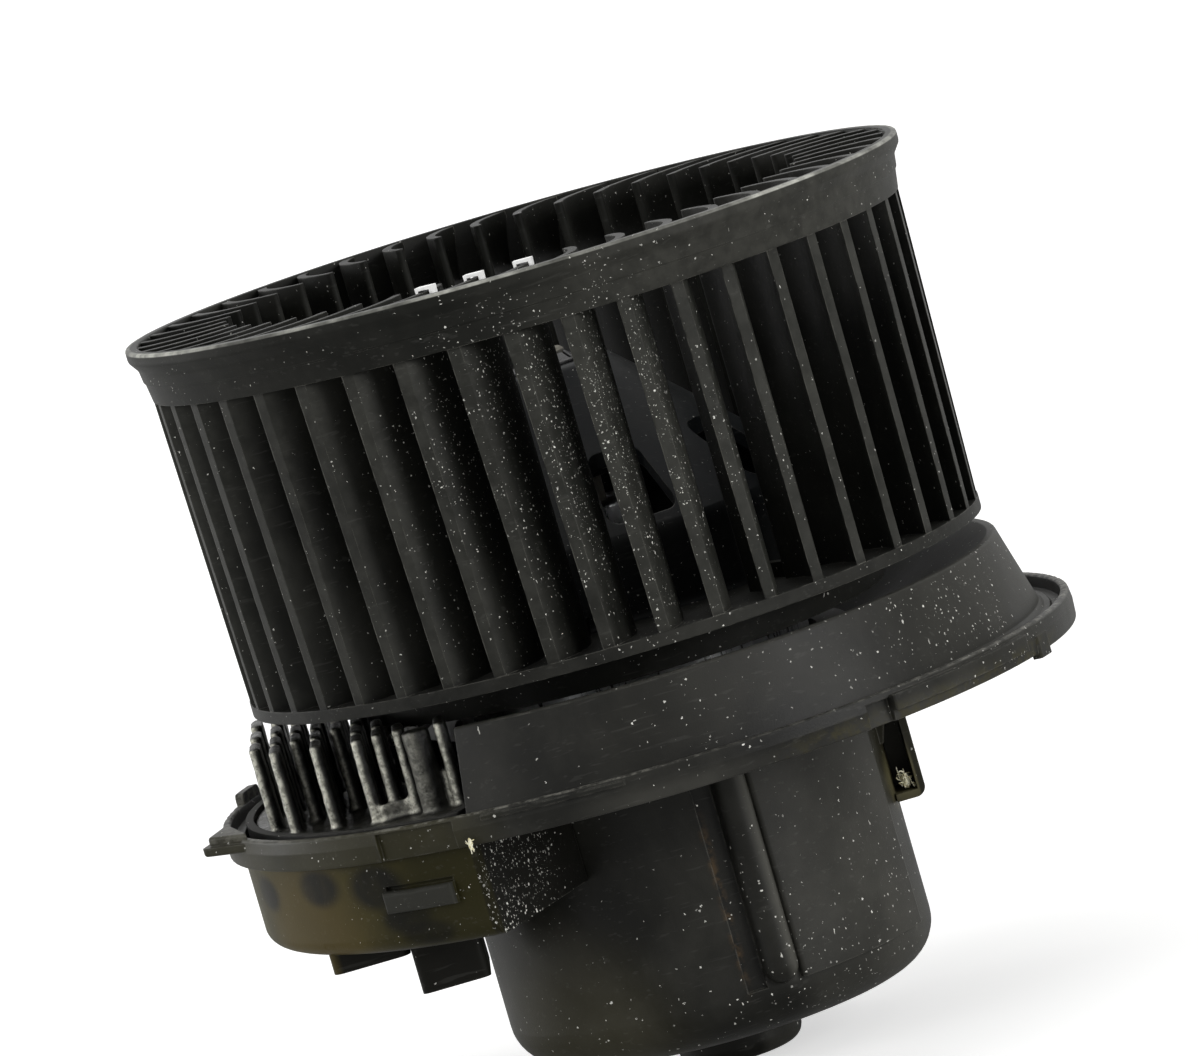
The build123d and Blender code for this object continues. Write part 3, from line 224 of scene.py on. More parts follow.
def measure(tree, operation, first, second=(0.0, 0.0, 0.0)):
    """The length of a vector, or the distance or dot product of two."""
    made = add(tree, "ShaderNodeVectorMath", {0: first, 1: second}, operation=operation)
    return made.outputs["Value"]


def split(tree, vector):
    parts = add(tree, "ShaderNodeSeparateXYZ", {"Vector": vector})
    return parts.outputs["X"], parts.outputs["Y"], parts.outputs["Z"]


def joined(tree, x=0.0, y=0.0, z=0.0):
    return add(tree, "ShaderNodeCombineXYZ", {"X": x, "Y": y, "Z": z}).outputs["Vector"]


def turned(tree, vector, scale, turn=(0.0, 0.0, 0.0)):
    made = add(tree, "ShaderNodeMapping", {"Vector": vector, "Rotation": turn, "Scale": scale})
    return made.outputs["Vector"]


def noise(tree, vector, scale, detail, roughness=0.5, distortion=0.0):
    made = add(tree, "ShaderNodeTexNoise", {
        "Vector": vector, "Scale": scale, "Detail": detail, "Roughness": roughness,
        "Distortion": distortion,
    })
    return made.outputs["Fac"]


def opaque(colour):
    """A colour's three numbers with full cover, or its socket as it is."""
    return colour if isinstance(colour, bpy.types.NodeSocket) else (*colour, 1.0)


def mixed(tree, factor, first, second):
    inputs = {0: factor, 6: opaque(first), 7: opaque(second)}
    return add(tree, "ShaderNodeMix", inputs, data_type="RGBA").outputs[2]


def part_of(tree, mask, share, colour, other):
    """Another colour laid over a share of what a mask covers."""
    return mixed(tree, times(tree, mask, share), colour, other)


def emboss(tree, shader, height, strength, distance, rounding=0.0):
    """Relief from a height, over corners that are rounded by a radius where one is given."""
    inputs = {"Strength": strength, "Distance": distance, "Height": height}
    if rounding:
        corners = add(tree, "ShaderNodeBevel", {"Radius": rounding}, samples=4)
        inputs["Normal"] = corners.outputs["Normal"]
    relief = add(tree, "ShaderNodeBump", inputs)
    feed(tree, shader, {"Normal": relief.outputs["Normal"]})


def start_group(name, output, **inputs):
    """A node group with a vector input, named float inputs and one float output."""
    tree = bpy.data.node_groups.new(name, "ShaderNodeTree")
    tree.interface.new_socket(name="Vector", in_out="INPUT", socket_type="NodeSocketVector")
    for label, value in inputs.items():
        socket = tree.interface.new_socket(name=label, in_out="INPUT", socket_type="NodeSocketFloat")
        socket.default_value = value
    tree.interface.new_socket(name=output, in_out="OUTPUT", socket_type="NodeSocketFloat")
    return tree, tree.nodes.new("NodeGroupInput").outputs, tree.nodes.new("NodeGroupOutput")


def effect(tree, group, place, **inputs):
    """A shared effect in a material, with that material's own values."""
    made = tree.nodes.new("ShaderNodeGroup")
    made.node_tree = group
    return feed(tree, made, {"Vector": place, **inputs}).outputs[0]


# Shared effects

def make_specks():
    """Dust grains: a share of the cells of a fine pattern holds one ragged grain each, from
    dull to bright."""
    tree, given, sink = start_group("dust_specks", "Mask", Scale=1100.0, Size=0.2, Share=0.1)
    ragged = add(tree, "ShaderNodeTexNoise", {
        "Vector": given["Vector"], "Scale": 3200.0, "Detail": 1.0,
    })
    shift = add(tree, "ShaderNodeVectorMath", {
        0: ragged.outputs["Color"], 1: [GRAIN_RAGGEDNESS] * 3, 2: given["Vector"],
    }, operation="MULTIPLY_ADD")
    cells = add(tree, "ShaderNodeTexVoronoi", {
        "Vector": shift.outputs["Vector"], "Scale": given["Scale"], "Randomness": 1.0,
    }, voronoi_dimensions="3D", feature="F1")
    draws = add(tree, "ShaderNodeSeparateColor", {"Color": cells.outputs["Color"]}).outputs
    chosen = maths(tree, "LESS_THAN", draws["Red"], given["Share"])
    reach = fitted(tree, maths(tree, "POWER", draws["Green"], 2.0), 0.8, 0.3)
    grain = maths(tree, "LESS_THAN", cells.outputs["Distance"], times(tree, reach, given["Size"]))
    bright = fitted(tree, draws["Blue"], 0.75, 0.25)
    feed(tree, sink, {"Mask": times(tree, chosen, grain, bright)})
    return tree


def make_edges():
    """Worn edges, found where the rounded normal leaves the true one."""
    tree, given, sink = start_group("edge_wear", "Edge", Radius=0.0005, Breakup=400.0, Strength=1.0)
    rounded = add(tree, "ShaderNodeBevel", {"Radius": given["Radius"]}, samples=4)
    true = add(tree, "ShaderNodeNewGeometry", {})
    bend = measure(tree, "DOT_PRODUCT", rounded.outputs["Normal"], true.outputs["True Normal"])
    edge = spread(tree, bend, 0.97, 0.80)
    breaks = noise(tree, given["Vector"], given["Breakup"], detail=3.0, roughness=0.6)
    edge = times(tree, edge, spread(tree, breaks, 0.38, 0.62))
    edge = maths(tree, "MULTIPLY", edge, given["Strength"], clamp=True)
    feed(tree, sink, {"Edge": edge})
    return tree


def make_film():
    """Dust film in clouds, thicker on what faces up."""
    tree, given, sink = start_group("dust_film", "Film", Scale=30.0, Cover=0.4, Upward=0.4)
    clouds = noise(tree, given["Vector"], given["Scale"], detail=8.0, roughness=0.62, distortion=0.3)
    cloud = times(tree, spread(tree, clouds, 0.36, 0.72), given["Cover"])
    _, _, facing_up = split(tree, add(tree, "ShaderNodeNewGeometry", {}).outputs["Normal"])
    up = times(tree, spread(tree, facing_up, 0.2, 1.0), given["Upward"])
    feed(tree, sink, {"Film": maths(tree, "ADD", cloud, up, clamp=True)})
    return tree


def make_grain():
    """Fine eroded grain of a moulding tool, with broader waviness under it."""
    tree, given, sink = start_group("moulded_grain", "Height", Scale=2500.0, Waviness=0.5)
    fine = noise(tree, given["Vector"], given["Scale"], detail=4.0, roughness=0.7)
    wave = times(tree, noise(tree, given["Vector"], scale=55.0, detail=2.0), given["Waviness"])
    feed(tree, sink, {"Height": maths(tree, "ADD", fine, wave)})
    return tree


def make_scratches():
    """Fine rubbed lines in two crossing directions."""
    tree, given, sink = start_group("scratches", "Mask", Scale=60.0, Share=0.5)
    masks = []
    for turn in ((0.2, 0.5, 0.9), (1.1, -0.4, 2.2)):
        drawn_out = turned(tree, given["Vector"], (1.0, 14.0, 14.0), turn)
        lines = noise(tree, drawn_out, given["Scale"], detail=3.0, roughness=0.6)
        masks.append(spread(tree, lines, 0.62, 0.70))
    feed(tree, sink, {"Mask": times(tree, maths(tree, "MAXIMUM", *masks), given["Share"])})
    return tree


SPECKS = make_specks()
EDGES = make_edges()
FILM = make_film()
GRAIN = make_grain()
SCRATCHES = make_scratches()


# Materials

FINISHES = {}
for imported in list(bpy.data.materials):
    bpy.data.materials.remove(imported)


def start_material(name):
    material = bpy.data.materials.new(name)
    FINISHES[name] = material
    material.use_nodes = True
    tree = material.node_tree
    place = add(tree, "ShaderNodeTexCoord", {}).outputs["Object"]
    return tree, tree.nodes["Principled BSDF"], place


def whereabouts(tree, place):
    """Distance from the fan axis, azimuth in radians from the front towards +X, and height."""
    x, y, height = split(tree, place)
    radius = measure(tree, "LENGTH", joined(tree, x, y))
    angle = maths(tree, "ARCTAN2", x, times(tree, y, -1.0))
    return {"radius": radius, "angle": angle, "height": height}


def near(tree, place, centre, reach):
    """1 at a place given in millimetres, falling to 0 at the reach."""
    away = measure(tree, "DISTANCE", place, [value / 1000 for value in centre])
    return spread(tree, away, reach / 1000, 0.35 * reach / 1000)


def between(tree, value, low, high, soft):
    """1 between two limits, with soft ends."""
    return times(tree, spread(tree, value, low - soft, low + soft),
                 spread(tree, value, high + soft, high - soft))


def zone(tree, where, **limits):
    """1 in a part of the surface and 0 off it. A radius, angle or height is given by where the
    mask is 0 and where it is 1, or by its two ends and their softness."""
    masks = []
    for measured, limit in limits.items():
        shape = between if len(limit) == 3 else spread
        masks.append(shape(tree, where[measured], *limit))
    return times(tree, *masks)


def dusting(tree, place, share, crowds, size):
    """Grains over a surface in loose crowds, with denser places given in millimetres."""
    crowd = noise(tree, place, scale=24.0, detail=4.0, roughness=0.65)
    crowd = spread(tree, crowd, 0.36, 0.66, 0.15, 1.0)
    amount = share
    for centre, reach, extra in crowds:
        amount = fitted(tree, near(tree, place, centre, reach), extra, amount)
    amount = times(tree, crowd, amount)
    streak = turned(tree, place, (1.0, 0.3, 0.25), (0.3, 0.4, 0.6))
    total = 0.0
    for vector, scale, reach, part in (
        (place, 1250.0, 0.25, 0.6), (place, 2300.0, 0.36, 1.0), (streak, 1700.0, 0.17, 0.3),
    ):
        grains = effect(tree, SPECKS, vector, Scale=scale / size, Size=reach,
                        Share=times(tree, amount, part))
        total = maths(tree, "MAXIMUM", total, grains)
    return total


def plastic(name, dark, light, roughness=0.42, film=0.35, upward=0.3, specks=0.09, edge=0.35,
            edge_width=0.0005, gloss=0.16, crowds=(), speck_size=1.0, dress=None):
    """Moulded plastic, rubber or resin: mottled colour, what a dress lays over it, dust film,
    rubbed edges, bright specks and grain."""
    tree, shader, place = start_material(name)
    clouds = noise(tree, place, scale=22.0, detail=7.0, roughness=0.6)
    colour = mixed(tree, spread(tree, clouds, 0.35, 0.68), dark, light)
    if dress:
        colour = dress(tree, place, colour)
    veil = times(tree, effect(tree, FILM, place, Scale=38.0, Cover=film, Upward=upward), VEIL_SHARE)
    colour = mixed(tree, veil, colour, FILM_AND_SHEEN_GREY)
    worn = effect(tree, EDGES, place, Radius=edge_width, Breakup=260.0, Strength=edge)
    colour = part_of(tree, worn, RUBBED_EDGE_SHARE, colour, FILM_AND_SHEEN_GREY)
    rubbed = effect(tree, SCRATCHES, place, Scale=70.0, Share=0.5)
    colour = part_of(tree, rubbed, SCRATCH_SHARE, colour, DUST_WHITE)
    speck = dusting(tree, place, specks, crowds, speck_size)
    colour = mixed(tree, speck, colour, DUST_WHITE)
    rough = spread(tree, clouds, 0.3, 0.7, roughness - 0.06, roughness + 0.08)
    rough = maths(tree, "ADD", rough, times(tree, veil, 0.8))
    rough = maths(tree, "MAXIMUM", rough, times(tree, speck, 0.9), clamp=True)
    feed(tree, shader, {"Base Color": colour, "Roughness": rough, "Specular IOR Level": gloss})
    height = effect(tree, GRAIN, place, Scale=2600.0, Waviness=3.0)
    height = maths(tree, "ADD", height, times(tree, speck, 2.0))
    emboss(tree, shader, height, strength=MOULDED_RELIEF, distance=0.0004, rounding=0.00035)


def metal(name, colour, shade, roughness=0.3, brushed=(1.0, 1.0, 1.0), metallic=1.0, film=0.2,
          edge=0.4, bump=0.08):
    """Metal with tarnish in clouds, drawn or cast texture, and rubbed edges."""
    tree, shader, place = start_material(name)
    clouds = noise(tree, place, scale=120.0, detail=8.0, roughness=0.65)
    base = mixed(tree, spread(tree, clouds, 0.35, 0.68), shade, colour)
    worn = effect(tree, EDGES, place, Radius=0.0005, Breakup=900.0, Strength=edge)
    base = mixed(tree, worn, base, colour)
    veil = effect(tree, FILM, place, Scale=70.0, Cover=film, Upward=film)
    veil = times(tree, veil, METAL_VEIL_SHARE)
    base = mixed(tree, veil, base, DRY_DIRT)
    drawn = noise(tree, turned(tree, place, brushed), scale=1500.0, detail=3.0)
    rough = spread(tree, drawn, 0.3, 0.7, roughness - 0.08, roughness + 0.12)
    rough = maths(tree, "ADD", rough, times(tree, veil, 0.6), clamp=True)
    feed(tree, shader, {"Base Color": base, "Roughness": rough, "Metallic": metallic})
    emboss(tree, shader, drawn, strength=bump, distance=0.0003, rounding=0.0003)


def winding_copper():
    """Enamelled wire laid side by side, as fine rounded lines along the winding."""
    tree, shader, place = start_material("enamelled_copper")
    where = whereabouts(tree, place)
    turns = joined(tree, times(tree, where["angle"], 0.02), where["radius"])
    wires = add(tree, "ShaderNodeTexWave", {
        "Vector": turns, "Scale": 420.0, "Distortion": 1.2, "Detail": 2.0,
    }, wave_type="BANDS", bands_direction="Y", wave_profile="SIN").outputs["Fac"]
    clouds = noise(tree, place, scale=160.0, detail=5.0)
    base = mixed(tree, wires, WIRE_GAP, WIRE_COPPER)
    base = mixed(tree, spread(tree, clouds, 0.4, 0.7, 0.0, 0.5), base, WIRE_TARNISH)
    rough = spread(tree, clouds, 0.3, 0.7, 0.22, 0.42)
    feed(tree, shader, {"Base Color": base, "Roughness": rough, "Metallic": 0.8})
    emboss(tree, shader, wires, strength=0.8, distance=0.0003)


def stacked_steel():
    """Edges of thin steel sheets, as fine lines across the shaft."""
    tree, shader, place = start_material("lamination_steel")
    _, _, height = split(tree, place)
    sheets = add(tree, "ShaderNodeTexWave", {
        "Vector": joined(tree, z=height), "Scale": 320.0, "Distortion": 0.2, "Detail": 1.0,
    }, wave_type="BANDS", bands_direction="Z", wave_profile="SAW").outputs["Fac"]
    rust = noise(tree, place, scale=220.0, detail=8.0, roughness=0.7)
    base = mixed(tree, sheets, SHEET_GAP, SHEET_STEEL)
    base = mixed(tree, spread(tree, rust, 0.56, 0.72, 0.0, 0.5), base, SHEET_RUST)
    rough = spread(tree, rust, 0.3, 0.7, 0.30, 0.55)
    feed(tree, shader, {"Base Color": base, "Roughness": rough, "Metallic": 0.9})
    emboss(tree, shader, sheets, strength=0.5, distance=0.0002)


def board_green():
    """Lacquered board with paler copper runs under the lacquer."""
    tree, shader, place = start_material("green_board")
    cells = add(tree, "ShaderNodeTexVoronoi", {"Vector": place, "Scale": 210.0, "Randomness": 0.35},
                voronoi_dimensions="3D", feature="DISTANCE_TO_EDGE")
    lacquer = spread(tree, cells.outputs["Distance"], 0.05, 0.09)
    clouds = noise(tree, place, scale=90.0, detail=5.0)
    base = mixed(tree, lacquer, BOARD_RUNS, BOARD_GREEN)
    base = mixed(tree, spread(tree, clouds, 0.5, 0.8, 0.0, 0.5), base, BOARD_STAIN)
    rough = spread(tree, clouds, 0.3, 0.7, 0.25, 0.45)
    feed(tree, shader, {"Base Color": base, "Roughness": rough})
    emboss(tree, shader, lacquer, strength=0.25, distance=0.0002)


def dress_fan(tree, place, colour):
    """Outer edges of the blades paler as dust with painted sheen, painted sheen on the band's right,
    painted shade on the blade tops and feet, a worn rim with a painted highlight, and painted shade
    with a cold tint on the hub."""
    where = whereabouts(tree, place)
    fibre = noise(tree, place, scale=300.0, detail=4.0, roughness=0.6)
    broken = spread(tree, fibre, 0.30, 0.70, 0.45, 1.0)
    # Dust and painted sheen on the blades' outer edges, where their convex faces catch the light
    outer = zone(tree, where, radius=(0.0690, 0.0722), height=(0.0835, 0.0825))
    colour = part_of(tree, times(tree, outer, broken), 0.35, colour, EDGE_DUST_AND_SHEEN)
    # Painted sheen: the band is made lighter on its right, where the light falls, in dust-film grey
    band = zone(tree, where, angle=(0.10, 1.3, 0.25), height=(0.0825, 0.0840))
    colour = part_of(tree, times(tree, band, broken), 0.075, colour, FILM_AND_SHEEN_GREY)
    foot = zone(tree, where, height=(0.0250, 0.0240), radius=(0.066, 0.068))
    colour = part_of(tree, foot, 0.45, colour, FOOT_SHADE)
    tops = zone(tree, where, height=(0.0905, 0.0915), radius=(0.0728, 0.0722))
    colour = part_of(tree, tops, 0.5, colour, DEEP_SHADE)
    # A worn rim with a painted highlight along the lip's top edge
    rim = zone(tree, where, height=(0.09335, 0.09360), radius=(0.0738, 0.0743))
    patches = noise(tree, place, scale=45.0, detail=4.0, roughness=0.6)
    rim = times(tree, rim, spread(tree, patches, 0.36, 0.60, 0.25, 1.0), broken)
    colour = part_of(tree, rim, 0.95, colour, RIM_WEAR_AND_SHEEN)
    # Painted shade with a cold tint on the hub inside the wheel
    return part_of(tree, zone(tree, where, radius=(0.0470, 0.0450)), 0.9, colour, HUB_COLD_SHADE)


def blot(tree, where, centre, size):
    """1 inside an oval on the tub's wall, with a soft edge."""
    degrees, level = centre
    half_width, half_height = size
    around = TUB_RADIUS / half_width
    along = fitted(tree, where["angle"], around, -math.radians(degrees) * around)
    up = fitted(tree, where["height"], 1000 / half_height, -level / half_height)
    return spread(tree, measure(tree, "LENGTH", joined(tree, along, up)), 1.3, 0.65)


def dress_tub(tree, place, colour):
    """Smoky brown see-through look of the tub's wall, with dark blots, a plain grey latch and
    dust that lies thick on the side wall by the motor cup."""
    where = whereabouts(tree, place)
    smoke = noise(tree, place, scale=60.0, detail=6.0, roughness=0.6, distortion=0.4)
    wall = zone(tree, where, radius=(0.0775, 0.0795), height=(-0.0025, -0.0045))
    amount = times(tree, wall, spread(tree, smoke, 0.25, 0.7, 0.40, 1.0))
    colour = mixed(tree, amount, colour, TUB_OLIVE)
    rust = times(tree, near(tree, place, *TUB_RUST_SPOT), wall)
    colour = part_of(tree, rust, 0.8, colour, TUB_RUST)
    shady = times(tree, zone(tree, where, angle=(-0.80, -0.62)), wall,
                  spread(tree, smoke, 0.3, 0.6, 0.55, 1.0))
    colour = part_of(tree, shady, 0.75, colour, TUB_SHADE)
    smoky = spread(tree, smoke, 0.3, 0.6, 0.6, 1.0)
    for centre, size in TUB_BLOTS:
        dark = times(tree, blot(tree, where, centre, size), wall, smoky)
        colour = part_of(tree, dark, 0.97, colour, TUB_BLOT)
    colour = mixed(tree, zone(tree, where, radius=(0.0806, 0.0810)), colour, LATCH_GREY)
    side_wall = zone(tree, where, angle=(-0.488, -0.481))
    colour = part_of(tree, side_wall, 0.5, colour, DEEP_SHADE)
    crowd = spread(tree, noise(tree, place, scale=130.0, detail=3.0), 0.34, 0.58, 0.25, 1.0)
    dusty = times(tree, side_wall, near(tree, place, *SIDE_DUST_SPOT), crowd, 0.80)
    for scale, size in ((1000.0, 0.30), (1900.0, 0.36)):
        grains = effect(tree, SPECKS, place, Scale=scale, Size=size, Share=dusty)
        colour = mixed(tree, grains, colour, DUST_WHITE)
    return colour


def dress_housing(tree, place, colour):
    """Olive tint over the regulator, painted light in dust-film grey on the panel that faces right
    and on the flange's underside, painted highlights on the panel's border and the rib, painted shade
    on the collar's middle and in the groove, brown dirt along the groove, and a pocket tint lifted as
    painted light.
    """
    where = whereabouts(tree, place)
    broken = spread(tree, noise(tree, place, scale=420.0, detail=5.0, roughness=0.65), 0.42, 0.62)
    clouds = noise(tree, place, scale=45.0, detail=6.0, roughness=0.6)
    cloudy = spread(tree, clouds, 0.30, 0.65, 0.55, 1.0)

    # the lip of the flange over and beside the regulator, and its crest
    lip = zone(tree, where, radius=(0.078, 0.080))
    over = times(tree, zone(tree, where, angle=(-0.707, -0.699)),
                 zone(tree, where, angle=(-0.34, -0.50)), lip, cloudy)
    colour = part_of(tree, over, 0.75, colour, LIP_OLIVE)
    crest = zone(tree, where, radius=(0.0795, 0.0810), height=(0.0021, 0.0024))
    colour = part_of(tree, times(tree, crest, broken), 0.40, colour, FILM_AND_SHEEN_GREY)
    beside = times(tree, zone(tree, where, angle=(-1.50, -0.703, 0.01)), lip, cloudy)
    colour = part_of(tree, beside, 0.65, colour, LIP_OLIVE)

    # the cup's panel with painted light, painted highlights on its border and ridge, painted bounce
    # light under the flange above it, and painted shade on the collar's middle
    # Painted light on the panel that faces the light from the right
    panel = zone(tree, where, angle=(0.36, 1.30, 0.12), radius=CUP_WALL, height=(-0.001, -0.012))
    colour = part_of(tree, times(tree, panel, cloudy), 0.085, colour, FILM_AND_SHEEN_GREY)
    # Painted highlight along the panel's raised right edge
    border = zone(tree, where, angle=(1.128, 1.146, 0.004), height=(-0.049, -0.004, 0.002),
                  radius=CUP_WALL)
    colour = part_of(tree, border, 0.45, colour, FILM_AND_SHEEN_GREY)
    # Painted highlight along the right side of the rib
    ridge = zone(tree, where, angle=(0.285, 0.335, 0.025), height=(-0.048, -0.004, 0.003),
                 radius=(0.0405, 0.0412))
    colour = part_of(tree, ridge, 0.14, colour, FILM_AND_SHEEN_GREY)
    # Painted bounce light from below on the flange's underside
    under = zone(tree, where, angle=(-0.1, 0.75, 0.2), height=(0.001, -0.002), radius=(0.055, 0.065))
    colour = part_of(tree, times(tree, under, cloudy), 0.11, colour, FILM_AND_SHEEN_GREY)
    colour = part_of(tree, near(tree, place, *COLLAR_MIDDLE), 0.7, colour, DEEP_SHADE)

    # the groove beside the ridge
    groove = zone(tree, where, angle=(0.075, 0.195, 0.02), height=(-0.048, -0.004, 0.006),
                  radius=CUP_SIDE)
    colour = part_of(tree, groove, 0.8, colour, GROOVE_SHADE)
    stain = zone(tree, where, angle=(0.080, 0.110, 0.02), height=(-0.046, -0.017, 0.006),
                 radius=CUP_SIDE)
    colour = part_of(tree, times(tree, stain, broken), 0.6, colour, GROOVE_DIRT)

    # the cup's left side, the catch with its pocket, and the flange's edge
    colour = part_of(tree, near(tree, place, *CUP_LEFT), 0.30, colour, TUB_OLIVE)
    colour = part_of(tree, near(tree, place, *CATCH_SIDE), 0.18, colour, TUB_OLIVE)
    sideways, _, _ = split(tree, place)
    inside = spread(tree, sideways, 0.0455, 0.0451)
    # Olive tint in the catch's pocket, made bright as painted light against the pocket's shade
    pocket = times(tree, near(tree, place, *CATCH_POCKET), inside)
    colour = part_of(tree, pocket, 0.4, colour, POCKET_TINT_AND_LIGHT)
    edge = zone(tree, where, angle=(0.30, 1.15, 0.1), radius=(0.080, 0.083), height=(0.001, -0.002))
    return part_of(tree, times(tree, edge, broken), 0.45, colour, TUB_OLIVE)


def worn_casting():
    """Dark oxidised casting with painted shade on its right side, whose left front edges are rubbed
    to rough bright metal and painted bright as highlight where they face the light.
    """
    tree, shader, place = start_material("cast_aluminium")
    clouds = noise(tree, place, scale=300.0, detail=7.0, roughness=0.7)
    base = mixed(tree, spread(tree, clouds, 0.35, 0.68), CASTING_DARK, CASTING_PALE)
    rounded = add(tree, "ShaderNodeBevel", {"Radius": 0.0011}, samples=6).outputs["Normal"]
    shade = spread(tree, measure(tree, "DOT_PRODUCT", rounded, SHADY_SIDE), 0.45, 0.85, 0.0, 0.8)
    base = mixed(tree, shade, base, CASTING_SHADE)
    # Wear and painted highlight: noses that face the left front are painted bright, less so on the
    # screw post
    nose = spread(tree, measure(tree, "DOT_PRODUCT", rounded, WORN_AND_LIT_SIDE), 0.66, 0.97)
    chips = noise(tree, place, scale=1000.0, detail=6.0, roughness=0.7)
    chipped = spread(tree, chips, 0.38, 0.60, 0.35, 1.0)
    x, y, _ = split(tree, place)
    from_post = measure(tree, "DISTANCE", joined(tree, x, y), POST_CENTRE)
    off_post = spread(tree, from_post, 0.0033, 0.0027, 1.0, 0.25)
    base = part_of(tree, times(tree, nose, chipped, off_post), 0.95, base, CASTING_WORN_AND_SHEEN)
    worn = effect(tree, EDGES, place, Radius=0.0005, Breakup=700.0, Strength=0.9)
    base = part_of(tree, worn, 0.75, base, CASTING_WORN_AND_SHEEN)
    rough = spread(tree, clouds, 0.3, 0.7, 0.26, 0.50)
    feed(tree, shader, {"Base Color": base, "Roughness": rough, "Metallic": 0.45})
    skin = noise(tree, place, scale=900.0, detail=6.0, roughness=0.7)
    emboss(tree, shader, skin, strength=0.55, distance=0.0005)


def pressed_clip():
    """Bright spring strip with painted shade where it grips, out of the light, and a painted glow on
    its open faces.
    """
    tree, shader, place = start_material("spring_steel_clip")
    tarnish = noise(tree, place, scale=900.0, detail=3.0)
    bright = mixed(tree, tarnish, CLIP_DULL, CLIP_BRIGHT)
    # Painted shade where the clip grips, from ambient occlusion
    shut = add(tree, "ShaderNodeAmbientOcclusion", {"Distance": 0.0012}, samples=8)
    open_air = spread(tree, shut.outputs["AO"], 0.45, 0.80)
    feed(tree, shader, {
        "Base Color": mixed(tree, open_air, CLIP_SHADE, bright),
        "Roughness": spread(tree, tarnish, 0.3, 0.7, 0.28, 0.42),
        "Metallic": 0.3,
        # Painted light: the open faces glow, though the clip is no lamp
        "Emission Color": mixed(tree, open_air, NO_GLOW, bright),
        "Emission Strength": CLIP_GLOW,
    })


def matted_lint():
    """Loose yellowish-white lint, matted in places."""
    tree, shader, place = start_material("lint")
    mat = noise(tree, place, scale=1800.0, detail=4.0)
    base = mixed(tree, spread(tree, mat, 0.30, 0.55), LINT_YELLOW, LINT_PALE)
    feed(tree, shader, {"Base Color": base, "Roughness": 0.9, "Specular IOR Level": 0.2})
    emboss(tree, shader, mat, strength=0.8, distance=0.0003)


# Mouldings: dark and light colour
plastic("black_polypropylene_fan", (0.0075, 0.0078, 0.0066), (0.0150, 0.0154, 0.0132), upward=0.0,
        specks=0.05, edge=0.9, edge_width=0.0003, gloss=0.08, crowds=FAN_CROWDS, dress=dress_fan)
plastic("black_polypropylene_housing", (0.0075, 0.0076, 0.0062), (0.0155, 0.0152, 0.0120), film=0.45,
        specks=0.06, edge=0.5, crowds=HOUSING_CROWDS, speck_size=1.25, dress=dress_housing)
plastic("black_polyamide", (0.0060, 0.0060, 0.0050), (0.0120, 0.0115, 0.0090), film=0.08, upward=0.1,
        specks=0.03, gloss=0.07, dress=dress_tub)
plastic("black_nylon", (0.014, 0.014, 0.014), (0.022, 0.022, 0.021), specks=0.04)
plastic("black_rubber", (0.010, 0.010, 0.010), (0.016, 0.016, 0.015), roughness=0.7, specks=0.03)
plastic("black_epoxy", (0.014, 0.014, 0.015), (0.024, 0.024, 0.026), specks=0.01)
plastic("carbon", (0.020, 0.020, 0.021), (0.045, 0.045, 0.048), roughness=0.55, specks=0.02)
plastic("phenolic_board", (0.16, 0.080, 0.035), (0.26, 0.14, 0.065), specks=0.02)
plastic("washer_nylon", (0.55, 0.52, 0.44), (0.70, 0.68, 0.60), specks=0.0)
plastic("capacitor_resin", (0.42, 0.15, 0.03), (0.58, 0.24, 0.06), roughness=0.25, specks=0.01)

# Metals: clean and tarnished colour
metal("blued_steel", (0.050, 0.051, 0.055), (0.022, 0.022, 0.025), film=0.1, metallic=0.4)
metal("oiled_steel", (0.14, 0.135, 0.12), (0.07, 0.066, 0.055), roughness=0.5, metallic=0.5, film=0.5)
metal("spring_steel", (0.55, 0.55, 0.56), (0.36, 0.36, 0.37))
metal("zinc_plated_steel", (0.62, 0.62, 0.60), (0.42, 0.42, 0.40))
metal("zinc_plated_can", (0.55, 0.56, 0.57), (0.38, 0.39, 0.40), brushed=(1.0, 1.0, 0.05))
metal("ground_steel", (0.66, 0.66, 0.67), (0.50, 0.50, 0.51), roughness=0.2, brushed=(0.1, 0.1, 6.0))
metal("ferrite", (0.085, 0.085, 0.09), (0.045, 0.045, 0.048), roughness=0.6, metallic=0.2, edge=0.2)
metal("commutator_copper", (0.70, 0.34, 0.18), (0.42, 0.17, 0.08), brushed=(1.0, 1.0, 12.0))
metal("sintered_bronze", (0.42, 0.27, 0.12), (0.26, 0.15, 0.06), roughness=0.5, bump=0.3)
metal("brass_sheet", (0.70, 0.52, 0.20), (0.48, 0.33, 0.11))
metal("tinned_brass", (0.70, 0.69, 0.62), (0.50, 0.46, 0.36))
metal("capacitor_can", (0.68, 0.69, 0.70), (0.52, 0.53, 0.54))

worn_casting()
pressed_clip()
winding_copper()
stacked_steel()
board_green()
matted_lint()

for slot in frame["record"]["subparts"]:
    node = frame["nodes"][slot["node"]]
    node.data.materials.clear()
    node.data.materials.append(FINISHES[OWN_FINISH.get(slot["node"], slot["material_slot"])])


# Pieces

def edit(piece):
    """Edit mode on one piece, with all of it selected."""
    bpy.ops.object.select_all(action="DESELECT")
    piece.select_set(True)
    bpy.context.view_layer.objects.active = piece
    bpy.ops.object.mode_set(mode="EDIT")
    bpy.ops.mesh.select_all(action="SELECT")


def finish_edit():
    bpy.ops.object.mode_set(mode="OBJECT")


def apply_modifier(piece, kind, **settings):
    bpy.context.view_layer.objects.active = piece
    made = piece.modifiers.new(kind.lower(), kind)
    for key, value in settings.items():
        setattr(made, key, value)
    bpy.ops.object.modifier_apply(modifier=made.name)


